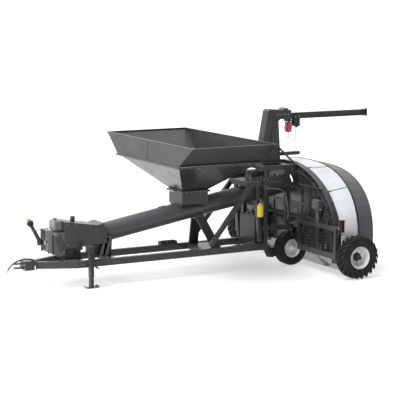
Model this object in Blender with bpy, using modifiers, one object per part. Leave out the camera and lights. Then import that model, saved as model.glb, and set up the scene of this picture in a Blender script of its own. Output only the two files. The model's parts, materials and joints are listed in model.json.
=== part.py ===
"""Towed grain bagger: drawbar, inclined auger with hopper, bag tunnel on wheels, and a bag hoist.

Metres, +Z up, +X the machine's left side, -Y forward to the hitch. The origin is on the ground
under the middle of the machine.
"""
import math

import bmesh
import bpy
from mathutils import Matrix, Vector

# Fits
GAP = 0.0003
RUN = 0.0012
SHEET = 0.006

# Drawbar
RAIL_X = 0.47
RAIL_W = 0.10
RAIL_LOW = 0.44
RAIL_TOP = 0.59
RAIL_REAR = 1.40
BEND_Y = -3.25
NOSE_REAR = -4.06
NOSE_FRONT = -4.32
CLEVIS_TIP = -4.53

# Auger: a point on its axis, its slope and its tube
AXIS_Y = -2.93
AXIS_Z = 1.00
SLOPE = math.radians(9.57)
TUBE_R = 0.212
TUBE_WALL = 0.006
TUBE_FRONT = -2.475
TUBE_REAR = 2.33
FLIGHT_R = 0.194
SHAFT_R = 0.044
PITCH = 0.40
ROUND = 28

# Hopper
RIM_X = 2.131
RIM_FRONT = -1.33
RIM_REAR = 0.754
RIM_TOP = 3.072
LIP_X = 1.567
LIP_FRONT = -1.38
LIP_REAR = 0.72
LIP_TOP = 2.617
THROAT_X = 0.314
THROAT_FRONT = -0.618
THROAT_REAR = 0.02
THROAT_TOP = 1.914
GATE_LOW = 1.8865
GATE_TOP = 1.8925

# Rear frame
TUBE = 0.10
TOP_RAIL = 2.33
MAIN_POST_Y = 1.43
REAR_POST_Y = 2.03
BEAM_FRONT = 2.20
BEAM_REAR = 2.30
BEAM_LOW = 1.05
BEAM_TOP = 1.15
SIDE_X = 2.25

# Hydraulic tank
TANK_FRONT = 1.24
TANK_REAR = 1.50

# Tunnel
ARCH_A = 2.15
ARCH_B = 1.65
ARCH_Z = 0.75
ARCH_FOOT = 0.30
ARCH_POWER = 2.0
REAR_POWER = 2.5
SKIRT_DROP = 0.07
RING_FRONT = 2.3003
RING_REAR = 2.42
BAND_REAR = 2.88
SKIRT_FRONT = 2.90
SKIRT_REAR = 3.28

# Mast, boom and hoist
MAST_HALF = 0.12
PIVOT_Y = 2.36
BOOM_LOW = 3.38
BOOM_TOP = 3.52
BOOM_END = 4.53
BOOM_FLANGE = 0.10

# Wheels
WHEEL_R = 0.4825
WHEEL_RIM_R = 0.249
WHEEL_X = 2.45
WHEEL_W = 0.31
WHEEL_Y = 2.64
WHEEL_STEPS = 28
GAUGE_R = 0.395
GAUGE_RIM_R = 0.212
GAUGE_X = 0.36
GAUGE_W = 0.24
GAUGE_Y = 2.20
ARM_PIVOT = (1.585, 0.490)
ARM_X = 0.185
ARM_W = 0.045

# Drive line
DRIVE_HALF = 0.28
INPUT_Z = 0.97
PTO_FOOT = (-3.90, 0.97)
PTO_HEAD = (-4.14, 1.43)

PARTS = "grain_bagger"
SHAPING = "shaping"
SIDES = (("left", 1), ("right", -1))

YZ_PLANE = Matrix(((0, 0, 1), (1, 0, 0), (0, 1, 0))).to_4x4()
XZ_PLANE = Matrix(((1, 0, 0), (0, 0, -1), (0, 1, 0))).to_4x4()


def clear_scene():
    for old in list(bpy.data.objects):
        bpy.data.objects.remove(old, do_unlink=True)


def new_collection(name):
    collection = bpy.data.collections.new(name)
    bpy.context.scene.collection.children.link(collection)
    return collection


clear_scene()
parts = new_collection(PARTS)
shaping = new_collection(SHAPING)


def finish(name, colour, roughness, metallic):
    material = bpy.data.materials.new(name)
    material.use_nodes = True
    shader = material.node_tree.nodes["Principled BSDF"]
    shader.inputs["Base Color"].default_value = (*colour, 1)
    shader.inputs["Roughness"].default_value = roughness
    shader.inputs["Metallic"].default_value = metallic
    return material


CHARCOAL = finish("charcoal_paint", (0.075, 0.080, 0.086), 0.45, 0.0)
BLACK = finish("black_paint", (0.016, 0.016, 0.018), 0.50, 0.0)
LIGHT_GREY = finish("light_grey_paint", (0.50, 0.50, 0.51), 0.45, 0.0)
WHITE = finish("white_panel", (0.80, 0.80, 0.83), 0.40, 0.0)
GREY = finish("grey_panel", (0.12, 0.13, 0.135), 0.50, 0.0)
STEEL = finish("bare_steel", (0.42, 0.42, 0.42), 0.35, 1.0)
ZINC = finish("galvanised_steel", (0.55, 0.56, 0.57), 0.45, 1.0)
RUBBER = finish("rubber", (0.018, 0.018, 0.020), 0.85, 0.0)
RED = finish("red_paint", (0.50, 0.035, 0.045), 0.40, 0.0)
YELLOW = finish("yellow_paint", (0.72, 0.52, 0.04), 0.40, 0.0)
AMBER = finish("amber_lens", (0.80, 0.22, 0.02), 0.25, 0.0)


def add(name, mesh, material, matrix=None):
    """A named sub-part made of the mesh, placed by the matrix."""
    mesh.name = name
    part = bpy.data.objects.new(name, mesh)
    parts.objects.link(part)
    part.data.materials.append(material)
    part.matrix_world = matrix or Matrix.Identity(4)
    return part


def helper(mesh, matrix=None):
    """A hidden shape that another piece is joined to or cut with."""
    shape = bpy.data.objects.new("shape", mesh)
    shaping.objects.link(shape)
    shape.hide_render = True
    shape.display_type = "WIRE"
    shape.matrix_world = matrix or Matrix.Identity(4)
    return shape


def boolean(part, shapes, operation):
    for mesh, matrix in shapes:
        step = part.modifiers.new(operation.lower(), "BOOLEAN")
        step.operation = operation
        step.solver = "EXACT"
        step.object = helper(mesh, matrix)
    return part


def join(part, *shapes):
    return boolean(part, shapes, "UNION")


def cut(part, *shapes):
    return boolean(part, shapes, "DIFFERENCE")


def mesh_from(build):
    mesh = bpy.data.meshes.new("mesh")
    shape = bmesh.new()
    build(shape)
    shape.to_mesh(mesh)
    shape.free()
    return mesh


def cube(size):
    def build(shape):
        bmesh.ops.create_cube(shape, size=1.0)
        bmesh.ops.scale(shape, vec=size, verts=shape.verts)

    return mesh_from(build)


def smooth(mesh, angle=35):
    mesh.shade_smooth()
    mesh.set_sharp_from_angle(angle=math.radians(angle))
    return mesh


def cone(radius_low, radius_high, height, sides):
    def build(shape):
        bmesh.ops.create_cone(shape, cap_ends=True, segments=sides, radius1=radius_low,
                              radius2=radius_high, depth=height)

    return smooth(mesh_from(build))


def box(low, high):
    """Mesh and matrix of the box between two opposite corners."""
    low = Vector(low)
    high = Vector(high)
    return cube(high - low), Matrix.Translation((low + high) / 2)


def slab(half_x, y_low, y_high, z_low, z_high):
    """A box that is symmetric about the machine's centre plane."""
    return box((-half_x, y_low, z_low), (half_x, y_high, z_high))


def aim(start, end):
    """Matrix at the middle of two points, with local Z along them and local X level."""
    start = Vector(start)
    end = Vector(end)
    along = (end - start).normalized()
    side = Vector((1, 0, 0))
    if abs(along.x) > 0.3:
        side = Vector((-along.y, along.x, 0)).normalized() if abs(along.z) < 0.99 else Vector((0, 1, 0))
    if abs(along.dot(side)) > 0.001:
        side = (side - along * along.dot(side)).normalized()
    across = along.cross(side)
    turn = Matrix((side, across, along)).transposed().to_4x4()
    return Matrix.Translation((start + end) / 2) @ turn


def bar(start, end, width, depth):
    """A rectangular bar from one point to another."""
    length = (Vector(end) - Vector(start)).length
    return cube((width, depth, length)), aim(start, end)


def rod(start, end, radius, sides=16, end_radius=None):
    length = (Vector(end) - Vector(start)).length
    return cone(radius, end_radius or radius, length, sides), aim(start, end)


def welded(curve_data):
    """The mesh of a curve, with its caps welded on."""
    curve = bpy.data.objects.new("curve", curve_data)
    bpy.context.scene.collection.objects.link(curve)
    bpy.context.view_layer.update()
    solid = curve.evaluated_get(bpy.context.evaluated_depsgraph_get())
    mesh = bpy.data.meshes.new_from_object(solid)
    shape = bmesh.new()
    shape.from_mesh(mesh)
    bmesh.ops.remove_doubles(shape, verts=shape.verts, dist=0.00001)
    bmesh.ops.recalc_face_normals(shape, faces=shape.faces)
    shape.to_mesh(mesh)
    shape.free()
    bpy.data.objects.remove(curve)
    return mesh


def outline(points, thickness, holes=()):
    """A flat plate in local XY, centred on z = 0."""
    data = bpy.data.curves.new("outline", "CURVE")
    data.dimensions = "2D"
    data.fill_mode = "BOTH"
    data.extrude = thickness / 2
    for loop in (points, *holes):
        spline = data.splines.new("POLY")
        spline.points.add(len(loop) - 1)
        for point, (u, v) in zip(spline.points, loop):
            point.co = (u, v, 0, 1)
        spline.use_cyclic_u = True
    return welded(data)


def side_plate(points, x_low, x_high, holes=()):
    """A plate whose outline is given as (y, z)."""
    middle = (x_low + x_high) / 2
    mesh = outline(points, x_high - x_low, holes)
    return mesh, Matrix.Translation((middle, 0, 0)) @ YZ_PLANE


def front_plate(points, y_low, y_high, holes=()):
    """A plate whose outline is given as (x, z)."""
    middle = (y_low + y_high) / 2
    mesh = outline(points, y_high - y_low, holes)
    return mesh, Matrix.Translation((0, middle, 0)) @ XZ_PLANE


def plan_plate(points, z_low, z_high, holes=()):
    """A plate whose outline is given as (x, y)."""
    middle = (z_low + z_high) / 2
    mesh = outline(points, z_high - z_low, holes)
    return mesh, Matrix.Translation((0, 0, middle))


def tube_curve(points, radius, resolution=2):
    data = bpy.data.curves.new("tube", "CURVE")
    data.dimensions = "3D"
    data.bevel_depth = radius
    data.bevel_resolution = resolution
    data.use_fill_caps = True
    spline = data.splines.new("POLY")
    spline.points.add(len(points) - 1)
    for point, place in zip(spline.points, points):
        point.co = (*place, 1)
    return data


def turned(name, profile, material, matrix, steps=32):
    """A body of revolution about local Z; the profile is a closed loop of (radius, z)."""
    def build(shape):
        verts = [shape.verts.new((radius, 0, height)) for radius, height in profile]
        for first, second in zip(verts, verts[1:] + verts[:1]):
            shape.edges.new((first, second))

    part = add(name, mesh_from(build), material, matrix)
    screw = part.modifiers.new("turn", "SCREW")
    screw.steps = steps
    screw.render_steps = steps
    screw.use_merge_vertices = True
    screw.merge_threshold = 0.0001
    screw.use_smooth_shade = True
    return part


def loft(sections):
    """A closed body through loops of equally many points, capped at both ends."""
    def build(shape):
        rings = [[shape.verts.new(place) for place in section] for section in sections]
        shape.faces.new(rings[0])
        shape.faces.new(rings[-1])
        for lower, upper in zip(rings, rings[1:]):
            for index in range(len(lower)):
                after = (index + 1) % len(lower)
                shape.faces.new((lower[index], lower[after], upper[after], upper[index]))
        bmesh.ops.recalc_face_normals(shape, faces=shape.faces)

    return mesh_from(build)


def arc(centre_u, centre_v, radius, start, end, steps):
    """Points on a circular arc; the angles are in degrees."""
    points = []
    for step in range(steps + 1):
        angle = math.radians(start + (end - start) * step / steps)
        points.append((centre_u + radius * math.cos(angle), centre_v + radius * math.sin(angle)))
    return points


def on_auger(distance, rise=0.0):
    """(y, z) at a distance along the auger's axis and a rise square to it."""
    base_z = AXIS_Z + (TUBE_FRONT - AXIS_Y) * math.tan(SLOPE)
    y = TUBE_FRONT + distance * math.cos(SLOPE) - rise * math.sin(SLOPE)
    z = base_z + distance * math.sin(SLOPE) + rise * math.cos(SLOPE)
    return y, z


def axis_height(y):
    return AXIS_Z + (y - AXIS_Y) * math.tan(SLOPE)


def auger_frame(distance=0.0):
    """Matrix on the auger's axis with local Z pointing up the tube."""
    y, z = on_auger(distance)
    return Matrix.Translation((0, y, z)) @ Matrix.Rotation(SLOPE - math.pi / 2, 4, "X")


def auger_bore(low, high, radius):
    """A cylinder on the auger's axis, with facets that match the tube's."""
    middle = (low + high) / 2
    return cone(radius, radius, high - low, ROUND), auger_frame(middle)


TUBE_LENGTH = (TUBE_REAR - TUBE_FRONT) / math.cos(SLOPE)


# Drawbar -------------------------------------------------------------------------------------

def drawbar():
    half = RAIL_W / 2
    spread = RAIL_X - 0.10
    run = BEND_Y - NOSE_REAR
    wide = half * math.hypot(spread, run) / run
    shift = half * (math.hypot(spread, run) - spread) / run
    for side, sign in SIDES:
        plan = [(0.10 - wide, NOSE_REAR + GAP), (0.10 + wide, NOSE_REAR + GAP),
                (RAIL_X + half, BEND_Y + shift - half), (RAIL_X + half, RAIL_REAR),
                (RAIL_X - half, RAIL_REAR), (RAIL_X - half, BEND_Y + half - shift)]
        mesh, matrix = plan_plate([(sign * x, y) for x, y in plan], RAIL_LOW, RAIL_TOP)
        add(f"drawbar_rail_{side}", mesh, CHARCOAL, matrix)


def nose_block():
    tip = 0.055
    hole_y = CLEVIS_TIP + tip
    prong = [(tip, NOSE_FRONT + 0.02), (-tip, NOSE_FRONT + 0.02)] + arc(0, hole_y, tip, 180, 360, 10)
    mesh, matrix = slab(0.165, NOSE_FRONT, NOSE_REAR, 0.42, 0.62)
    nose = add("drawbar_nose", mesh, CHARCOAL, matrix)
    mouth, after = smooth_route(HOSE_ROUTE, HOSE_SPACING)[:2]
    inward = (mouth - after).normalized()
    join(nose, plan_plate(prong, 0.550, 0.580), plan_plate(prong, 0.455, 0.485),
         rod(mouth + inward * GAP, mouth + inward * 0.06, 0.022, 12))
    cut(nose, rod((0, hole_y, 0.40), (0, hole_y, 0.64), 0.017, 16))


def jack():
    x = RAIL_X + RAIL_W / 2 + GAP + 0.05
    y = -2.97
    mesh, matrix = box((x - 0.05, y - 0.05, 0.24), (x + 0.05, y + 0.05, 0.905))
    tube = add("jack_tube", mesh, CHARCOAL, matrix)
    join(tube, box((x - 0.05, y - 0.09, 0.45), (x - 0.02, y + 0.09, 0.58)))
    cut(tube, box((x - 0.043, y - 0.043, 0.20), (x + 0.043, y + 0.043, 0.897)))
    mesh, matrix = box((x - 0.042, y - 0.042, 0.006), (x + 0.042, y + 0.042, 0.60))
    leg = add("jack_leg", mesh, CHARCOAL, matrix)
    foot = [(-0.16, 0.035), (-0.12, 0.0), (0.12, 0.0), (0.16, 0.035), (0.152, 0.043), (0.116, 0.012),
            (-0.116, 0.012), (-0.152, 0.043)]
    mesh, matrix = side_plate([(y + u, v) for u, v in foot], x - 0.09, x + 0.09)
    join(leg, (mesh, matrix))
    crank_z = 0.80
    start = x + 0.05 + GAP
    mesh, matrix = rod((start, y, crank_z), (start + 0.07, y, crank_z), 0.016)
    crank = add("jack_crank", mesh, BLACK, matrix)
    low_y = y + 0.07
    low_z = crank_z - 0.36
    join(crank, bar((start + 0.06, y - 0.004, crank_z + 0.02), (start + 0.06, low_y, low_z), 0.016, 0.032),
         rod((start + 0.055, low_y, low_z + 0.02), (start + 0.17, low_y, low_z + 0.02), 0.018))


def drive_pedestal():
    inner = RAIL_X - RAIL_W / 2 - GAP
    mesh, matrix = slab(inner, -3.18, -3.04, 0.455, 0.575)
    pedestal = add("drive_pedestal", mesh, CHARCOAL, matrix)
    join(pedestal, slab(0.20, -3.17, -3.05, 0.50, 0.80), slab(0.279, -3.19, -3.03, 0.79, 0.8397))


def auger_bracket():
    inner = RAIL_X - RAIL_W / 2 - GAP
    mesh, matrix = slab(inner, -2.43, -2.29, 0.455, 0.575)
    bracket = add("auger_bracket", mesh, CHARCOAL, matrix)
    cheek = [(-0.19, 0.56), (0.19, 0.56), (0.25, 1.02), (0.22, 1.10), (-0.22, 1.10), (-0.25, 1.02)]
    join(bracket, front_plate(cheek, -2.40, -2.32))
    cut(bracket, auger_bore(-0.2, 0.6, TUBE_R + GAP))


def cradle_leg(x_top, y_top, x_foot, y_foot):
    """A sloping plate from under the auger down to the cross member."""
    half = 0.115
    thick = 0.045
    sections = []
    for x, y, z in ((x_foot, y_foot, 0.53), (x_top, y_top, 1.30)):
        sections.append([(x, y - half, z), (x + thick, y - half, z),
                         (x + thick, y + half, z), (x, y + half, z)])
    return loft(sections), Matrix.Identity(4)


def auger_cradle():
    inner = RAIL_X - RAIL_W / 2 - GAP
    apex_y = -0.07
    mesh, matrix = slab(inner, -0.12, 0.37, 0.455, 0.575)
    cradle = add("auger_cradle", mesh, CHARCOAL, matrix)
    join(cradle, slab(0.11, apex_y - 0.11, apex_y + 0.11, 1.22, 1.32),
         cradle_leg(0.05, apex_y, 0.345, 0.24), cradle_leg(-0.095, apex_y, -0.39, 0.01))
    cut(cradle, auger_bore(1.6, 3.2, TUBE_R + GAP))


# Auger ---------------------------------------------------------------------------------------

def auger_tube():
    inner = TUBE_R - TUBE_WALL
    flange = 0.262
    thick = 0.02
    profile = [(TUBE_R, TUBE_LENGTH), (TUBE_R, thick), (flange, thick), (flange, 0), (inner, 0),
               (inner, TUBE_LENGTH)]
    tube = turned("auger_tube", profile, CHARCOAL, auger_frame(), ROUND)
    middle = (THROAT_FRONT + THROAT_REAR) / 2
    height = axis_height(middle)
    cut(tube, box((-0.135, THROAT_FRONT + 0.03, height + 0.02), (0.135, THROAT_REAR - 0.03, height + 0.4)))


def screw_section(angle, height):
    """The shaft with one flight standing on it, turned by the angle."""
    half_root = 0.10
    half_tip = 0.055
    points = []
    for step in range(7):
        around = half_root + (2 * math.pi - 2 * half_root) * step / 6
        points.append((SHAFT_R, around))
    points += [(FLIGHT_R, 2 * math.pi - half_tip), (FLIGHT_R, 2 * math.pi + half_tip)]
    return [(r * math.cos(angle + a), r * math.sin(angle + a), height) for r, a in points]


def auger_screw():
    start = 0.03
    end = TUBE_LENGTH - 0.03
    per_turn = 9
    count = round((end - start) / PITCH * per_turn)
    sections = []
    for step in range(count + 1):
        height = start + (end - start) * step / count
        sections.append(screw_section(2 * math.pi * step / per_turn, height))
    screw = add("auger_screw", smooth(loft(sections), 50), STEEL, auger_frame())
    lower = (-2.985 - TUBE_FRONT) / math.cos(SLOPE)
    middle = (lower + start + 0.05) / 2
    join(screw, (cone(0.032, 0.032, start + 0.05 - lower, 12), auger_frame(middle)))


# Drive line ----------------------------------------------------------------------------------

def drive_housing():
    rear_top = on_auger(-GAP, 0.268)
    rear_low = on_auger(-GAP, -0.19)
    outer = [(-3.44, 1.43), (-3.44, 0.84), (-3.15, 0.84), (-2.82, 0.88), rear_low, rear_top, (-2.67, 1.30)]
    inside_top = on_auger(-GAP - 0.008, 0.260)
    inside_low = on_auger(-GAP - 0.008, -0.35)
    inner = [(-3.432, 1.42), (-3.432, 0.70), inside_low, inside_top, (-2.672, 1.29)]
    mesh, matrix = side_plate(outer, -DRIVE_HALF, DRIVE_HALF)
    housing = add("drive_housing", mesh, CHARCOAL, matrix)
    wall = 0.008
    cut(housing, side_plate(inner, wall - DRIVE_HALF, DRIVE_HALF - wall), auger_bore(-0.2, 0.1, 0.06),
        rod((0, -3.50, INPUT_Z), (0, -3.38, INPUT_Z), 0.06))
    join(housing, slab(0.04, -3.19, -3.11, 1.36, 1.50))


def gearbox():
    mesh, matrix = slab(0.13, -3.30, -2.995, 0.86, 1.10)
    case = add("gearbox", mesh, GREY, matrix)
    case.modifiers.new("edges", "BEVEL").width = 0.02
    inner = DRIVE_HALF - 0.008 - GAP
    join(case, slab(inner, -3.24, -3.06, 0.99, 1.06))


def drive_guard():
    profile = [(-3.70, 1.12), (-3.70, 0.74), (-3.60, 0.68), (-3.4403, 0.72), (-3.4403, 1.19), (-3.62, 1.19)]
    cavity = [(-3.73, 1.10), (-3.73, 0.756), (-3.60, 0.69), (-3.446, 0.73), (-3.446, 1.184), (-3.62, 1.184)]
    mesh, matrix = side_plate(profile, -0.26, 0.26)
    guard = add("drive_guard", mesh, CHARCOAL, matrix)
    cut(guard, side_plate(cavity, -0.254, 0.254), rod((0, -3.50, INPUT_Z), (0, -3.40, INPUT_Z), 0.06))


def front_shield():
    mesh, matrix = slab(0.20, -3.82, -3.7003, 0.76, 1.25)
    shield = add("front_shield", mesh, LIGHT_GREY, matrix)
    cut(shield, slab(0.194, -3.90, -3.706, 0.70, 1.244), rod((0, -3.75, INPUT_Z), (0, -3.65, INPUT_Z), 0.06))


def hydraulic_pump():
    mesh, matrix = slab(0.15, -3.64, -3.4403, 1.235, 1.44)
    pump = add("hydraulic_pump", mesh, LIGHT_GREY, matrix)
    bevel = pump.modifiers.new("edges", "BEVEL")
    bevel.width = 0.015
    join(pump, rod((-0.07, -3.54, 1.42), (-0.07, -3.54, 1.475), 0.045),
         slab(0.12, -3.60, -3.50, 1.19 + GAP, 1.25))


def input_shaft():
    mesh, matrix = rod((0, -3.301, INPUT_Z), (0, -3.80, INPUT_Z), 0.028)
    shaft = add("input_shaft", mesh, STEEL, matrix)
    join(shaft, rod((0, -3.74, INPUT_Z), (0, -3.80, INPUT_Z), 0.045))


def pto_shaft():
    foot = Vector((0, *PTO_FOOT))
    head = Vector((0, *PTO_HEAD))
    along = (head - foot).normalized()
    mesh, matrix = rod(foot - along * 0.02, foot + along * 0.09, 0.075, 16, 0.05)
    outer = add("pto_outer", mesh, BLACK, matrix)
    join(outer, rod(foot + along * 0.08, foot + along * 0.34, 0.034))
    cut(outer, rod(foot + along * 0.14, foot + along * 0.40, 0.0275))
    stop = head + along * 0.02
    mesh, matrix = rod(stop - along * 0.11, stop, 0.05, 16, 0.075)
    inner = add("pto_inner", mesh, BLACK, matrix)
    join(inner, rod(foot + along * 0.15, stop - along * 0.10, 0.026),
         rod(stop - along * 0.01, stop + along * 0.055, 0.045))


# Hopper --------------------------------------------------------------------------------------

def ring(half_x, y_low, y_high, z_low, z_high, width):
    """A flat rectangular frame."""
    loop = [(-half_x, y_low), (half_x, y_low), (half_x, y_high), (-half_x, y_high)]
    hole = [(-half_x + width, y_low + width), (half_x - width, y_low + width),
            (half_x - width, y_high - width), (-half_x + width, y_high - width)]
    return plan_plate(loop, z_low, z_high, [hole])


def rectangle(half_x, y_low, y_high, z):
    return [(-half_x, y_low, z), (half_x, y_low, z), (half_x, y_high, z), (-half_x, y_high, z)]


def hopper_chute():
    wall = 0.008
    top = GATE_LOW - RUN
    low = 1.36
    narrow = 0.14
    front = THROAT_FRONT + 0.02
    rear = THROAT_REAR - 0.02
    shoulder = 1.60
    neck = 1.46
    outer = [rectangle(narrow + wall, front - wall, rear + wall, low),
             rectangle(narrow + wall, front - wall, rear + wall, neck),
             rectangle(THROAT_X + wall, THROAT_FRONT - wall, THROAT_REAR + wall, shoulder),
             rectangle(THROAT_X + wall, THROAT_FRONT - wall, THROAT_REAR + wall, top)]
    inner = [rectangle(narrow, front, rear, low - 0.05),
             rectangle(narrow, front, rear, neck + 0.005),
             rectangle(THROAT_X, THROAT_FRONT, THROAT_REAR, shoulder + 0.005),
             rectangle(THROAT_X, THROAT_FRONT, THROAT_REAR, top + 0.1)]
    chute = add("hopper_chute", loft(outer), CHARCOAL)
    reach = 0.05
    edge = THROAT_X + reach
    join(chute, slab(edge, THROAT_FRONT - reach, THROAT_REAR + reach, top - 0.02, top))
    guide = (GATE_TOP + RUN) - 0.0001
    for _, sign in SIDES:
        join(chute, box((min(sign * (edge - 0.018), sign * edge), THROAT_FRONT - reach, top - 0.01),
                        (max(sign * (edge - 0.018), sign * edge), THROAT_REAR + reach, guide)))
    cut(chute, (loft(inner), Matrix.Identity(4)), auger_bore(1.2, 3.4, TUBE_R + GAP))


def hopper_gate():
    half = THROAT_X + 0.05 - 0.018 - RUN
    front = THROAT_FRONT - 0.04
    mesh, matrix = slab(half, front, THROAT_REAR + 0.03, GATE_LOW, GATE_TOP)
    gate = add("hopper_gate", mesh, ZINC, matrix)
    join(gate, slab(0.11, front - 0.07, front + 0.01, GATE_LOW + 0.0005, GATE_TOP - 0.0005),
         rod((-0.11, front - 0.07, 1.8895), (0.11, front - 0.07, 1.8895), 0.014))


def hopper_funnel():
    wall = SHEET
    base = GATE_TOP + RUN + GAP
    shoulder = LIP_TOP - 0.02
    top_x = LIP_X - 0.06
    outer = [rectangle(THROAT_X + wall, THROAT_FRONT - wall, THROAT_REAR + wall, base),
             rectangle(THROAT_X + wall, THROAT_FRONT - wall, THROAT_REAR + wall, THROAT_TOP),
             rectangle(top_x, LIP_FRONT + 0.06, LIP_REAR - 0.06, shoulder),
             rectangle(top_x, LIP_FRONT + 0.06, LIP_REAR - 0.06, LIP_TOP)]
    inner = [rectangle(THROAT_X, THROAT_FRONT, THROAT_REAR, base - 0.05),
             rectangle(THROAT_X, THROAT_FRONT, THROAT_REAR, THROAT_TOP + 0.003),
             rectangle(top_x - 0.012, LIP_FRONT + 0.07, LIP_REAR - 0.07, shoulder),
             rectangle(top_x - 0.012, LIP_FRONT + 0.07, LIP_REAR - 0.07, LIP_TOP + 0.05)]
    funnel = add("hopper_funnel", loft(outer), CHARCOAL)
    reach = 0.05
    join(funnel, slab(THROAT_X + reach, THROAT_FRONT - reach, THROAT_REAR + reach, base, base + 0.014),
         slab(LIP_X, LIP_FRONT, LIP_REAR, LIP_TOP - 0.035, LIP_TOP))
    cut(funnel, (loft(inner), Matrix.Identity(4)))


def sloped_panel(name, corners, inward, material):
    """A sheet panel through four corners, thickened towards the inside of the hopper."""
    normal = (corners[1] - corners[0]).cross(corners[3] - corners[0]).normalized()
    if normal.dot(inward) < 0:
        normal = -normal
    other = [corner + normal * SHEET for corner in corners]
    add(name, loft([corners, other]), material)


def hopper_panels():
    foot = LIP_TOP + 0.001
    top = RIM_TOP - 0.03 - 0.001
    lean = 0.045
    low_front = LIP_FRONT + 0.03
    low_rear = LIP_REAR - 0.03
    for name, low_y, high_y, inward in (("front", low_front, RIM_FRONT + 0.01, 1),
                                        ("rear", low_rear, RIM_REAR - 0.01, -1)):
        corners = [Vector((-LIP_X + lean, low_y, foot)), Vector((LIP_X - lean, low_y, foot)),
                   Vector((RIM_X - 0.02, high_y, top)), Vector((-RIM_X + 0.02, high_y, top))]
        sloped_panel(f"hopper_panel_{name}", corners, Vector((0, inward, 0)), CHARCOAL)
    clear = SHEET + 0.002
    for side, sign in SIDES:
        corners = [Vector((sign * (LIP_X - lean), low_front + clear, foot + 0.004)),
                   Vector((sign * (LIP_X - lean), low_rear - clear, foot + 0.004)),
                   Vector((sign * (RIM_X - 0.025), RIM_REAR - 0.01 - clear, top - 0.004)),
                   Vector((sign * (RIM_X - 0.025), RIM_FRONT + 0.01 + clear, top - 0.004))]
        sloped_panel(f"hopper_panel_{side}", corners, Vector((-sign, 0, 0.5)), CHARCOAL)
    mesh, matrix = ring(RIM_X, RIM_FRONT, RIM_REAR, RIM_TOP - 0.03, RIM_TOP, 0.04)
    add("hopper_rim", mesh, CHARCOAL, matrix)


def hopper_support():
    under_lip = LIP_TOP - 0.035 - GAP
    mesh, matrix = slab(0.62, LIP_REAR - 0.05, LIP_REAR + 0.02, under_lip - 0.07, under_lip)
    support = add("hopper_support", mesh, CHARCOAL, matrix)
    for _, sign in SIDES:
        join(support, bar((sign * 0.50, LIP_REAR - 0.03, under_lip - 0.045),
                          (sign * 0.50, MAIN_POST_Y - 0.045, 2.30), 0.06, 0.06))
        cut(support, box((min(sign * 0.40, sign * 0.60), MAIN_POST_Y - 0.05 - GAP, 2.10),
                         (max(sign * 0.40, sign * 0.60), MAIN_POST_Y + 0.20, 2.50)))


# Frame ---------------------------------------------------------------------------------------

def side_frames():
    half = TUBE / 2
    for side, sign in SIDES:
        x = sign * RAIL_X
        low = x - half
        high = x + half
        top = TOP_RAIL + half
        mesh, matrix = box((low, MAIN_POST_Y - half, RAIL_LOW - 0.02), (high, MAIN_POST_Y + half, top))
        frame = add(f"side_frame_{side}", mesh, CHARCOAL, matrix)
        join(frame,
             box((low + 0.002, MAIN_POST_Y, TOP_RAIL - half), (high - 0.002, BEAM_REAR - GAP, top - 0.002)),
             box((low + 0.004, REAR_POST_Y - half, 0.86), (high - 0.004, REAR_POST_Y + half, TOP_RAIL)),
             bar((x, 1.19, 2.10), (x, 1.30, RAIL_TOP + 0.04), 0.092, 0.08),
             bar((x, 0.01, 0.645), (x, 1.16, 2.05), 0.088, 0.10),
             box((low + 0.010, 1.10, 2.02), (high - 0.010, REAR_POST_Y, 2.12)),
             box((low + 0.012, MAIN_POST_Y, 1.86), (high - 0.012, BEAM_REAR - GAP, 1.96)),
             box((low + 0.014, 1.05, 1.92), (high - 0.014, 1.32, 2.14)),
             box((low + 0.016, MAIN_POST_Y, 0.88), (high - 0.016, BEAM_FRONT - GAP, 0.98)),
             box((low + 0.018, REAR_POST_Y, BEAM_LOW), (high - 0.018, BEAM_FRONT - GAP, BEAM_TOP)))
        cut(frame, box((x - 0.2, -0.4, 0.3), (x + 0.2, RAIL_REAR + GAP, RAIL_TOP + GAP)))


def cross_frame():
    inner = RAIL_X - TUBE / 2 - GAP
    half = TUBE / 2
    mesh, matrix = slab(inner, MAIN_POST_Y - half, MAIN_POST_Y + half, TOP_RAIL - half, TOP_RAIL + half)
    frame = add("mast_crossbeam", mesh, CHARCOAL, matrix)
    join(frame, slab(inner, REAR_POST_Y - half, REAR_POST_Y + half, TOP_RAIL - half, TOP_RAIL + half),
         slab(0.11, MAIN_POST_Y, REAR_POST_Y, TOP_RAIL - 0.045, TOP_RAIL + 0.045))
    mesh, matrix = slab(inner, TANK_FRONT, TANK_REAR, RAIL_LOW + 0.02, RAIL_TOP)
    beam = add("tank_crossbeam", mesh, CHARCOAL, matrix)
    pivot_y, pivot_z = ARM_PIVOT
    cheek = [(TANK_REAR - 0.01, pivot_z - 0.03), (pivot_y + 0.03, pivot_z - 0.05), (pivot_y + 0.05, pivot_z),
             (pivot_y + 0.03, pivot_z + 0.05), (TANK_REAR - 0.01, pivot_z + 0.08)]
    for low in (ARM_X - 0.03, ARM_X + ARM_W + 0.006):
        join(beam, side_plate(cheek, low, low + 0.024))


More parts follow.
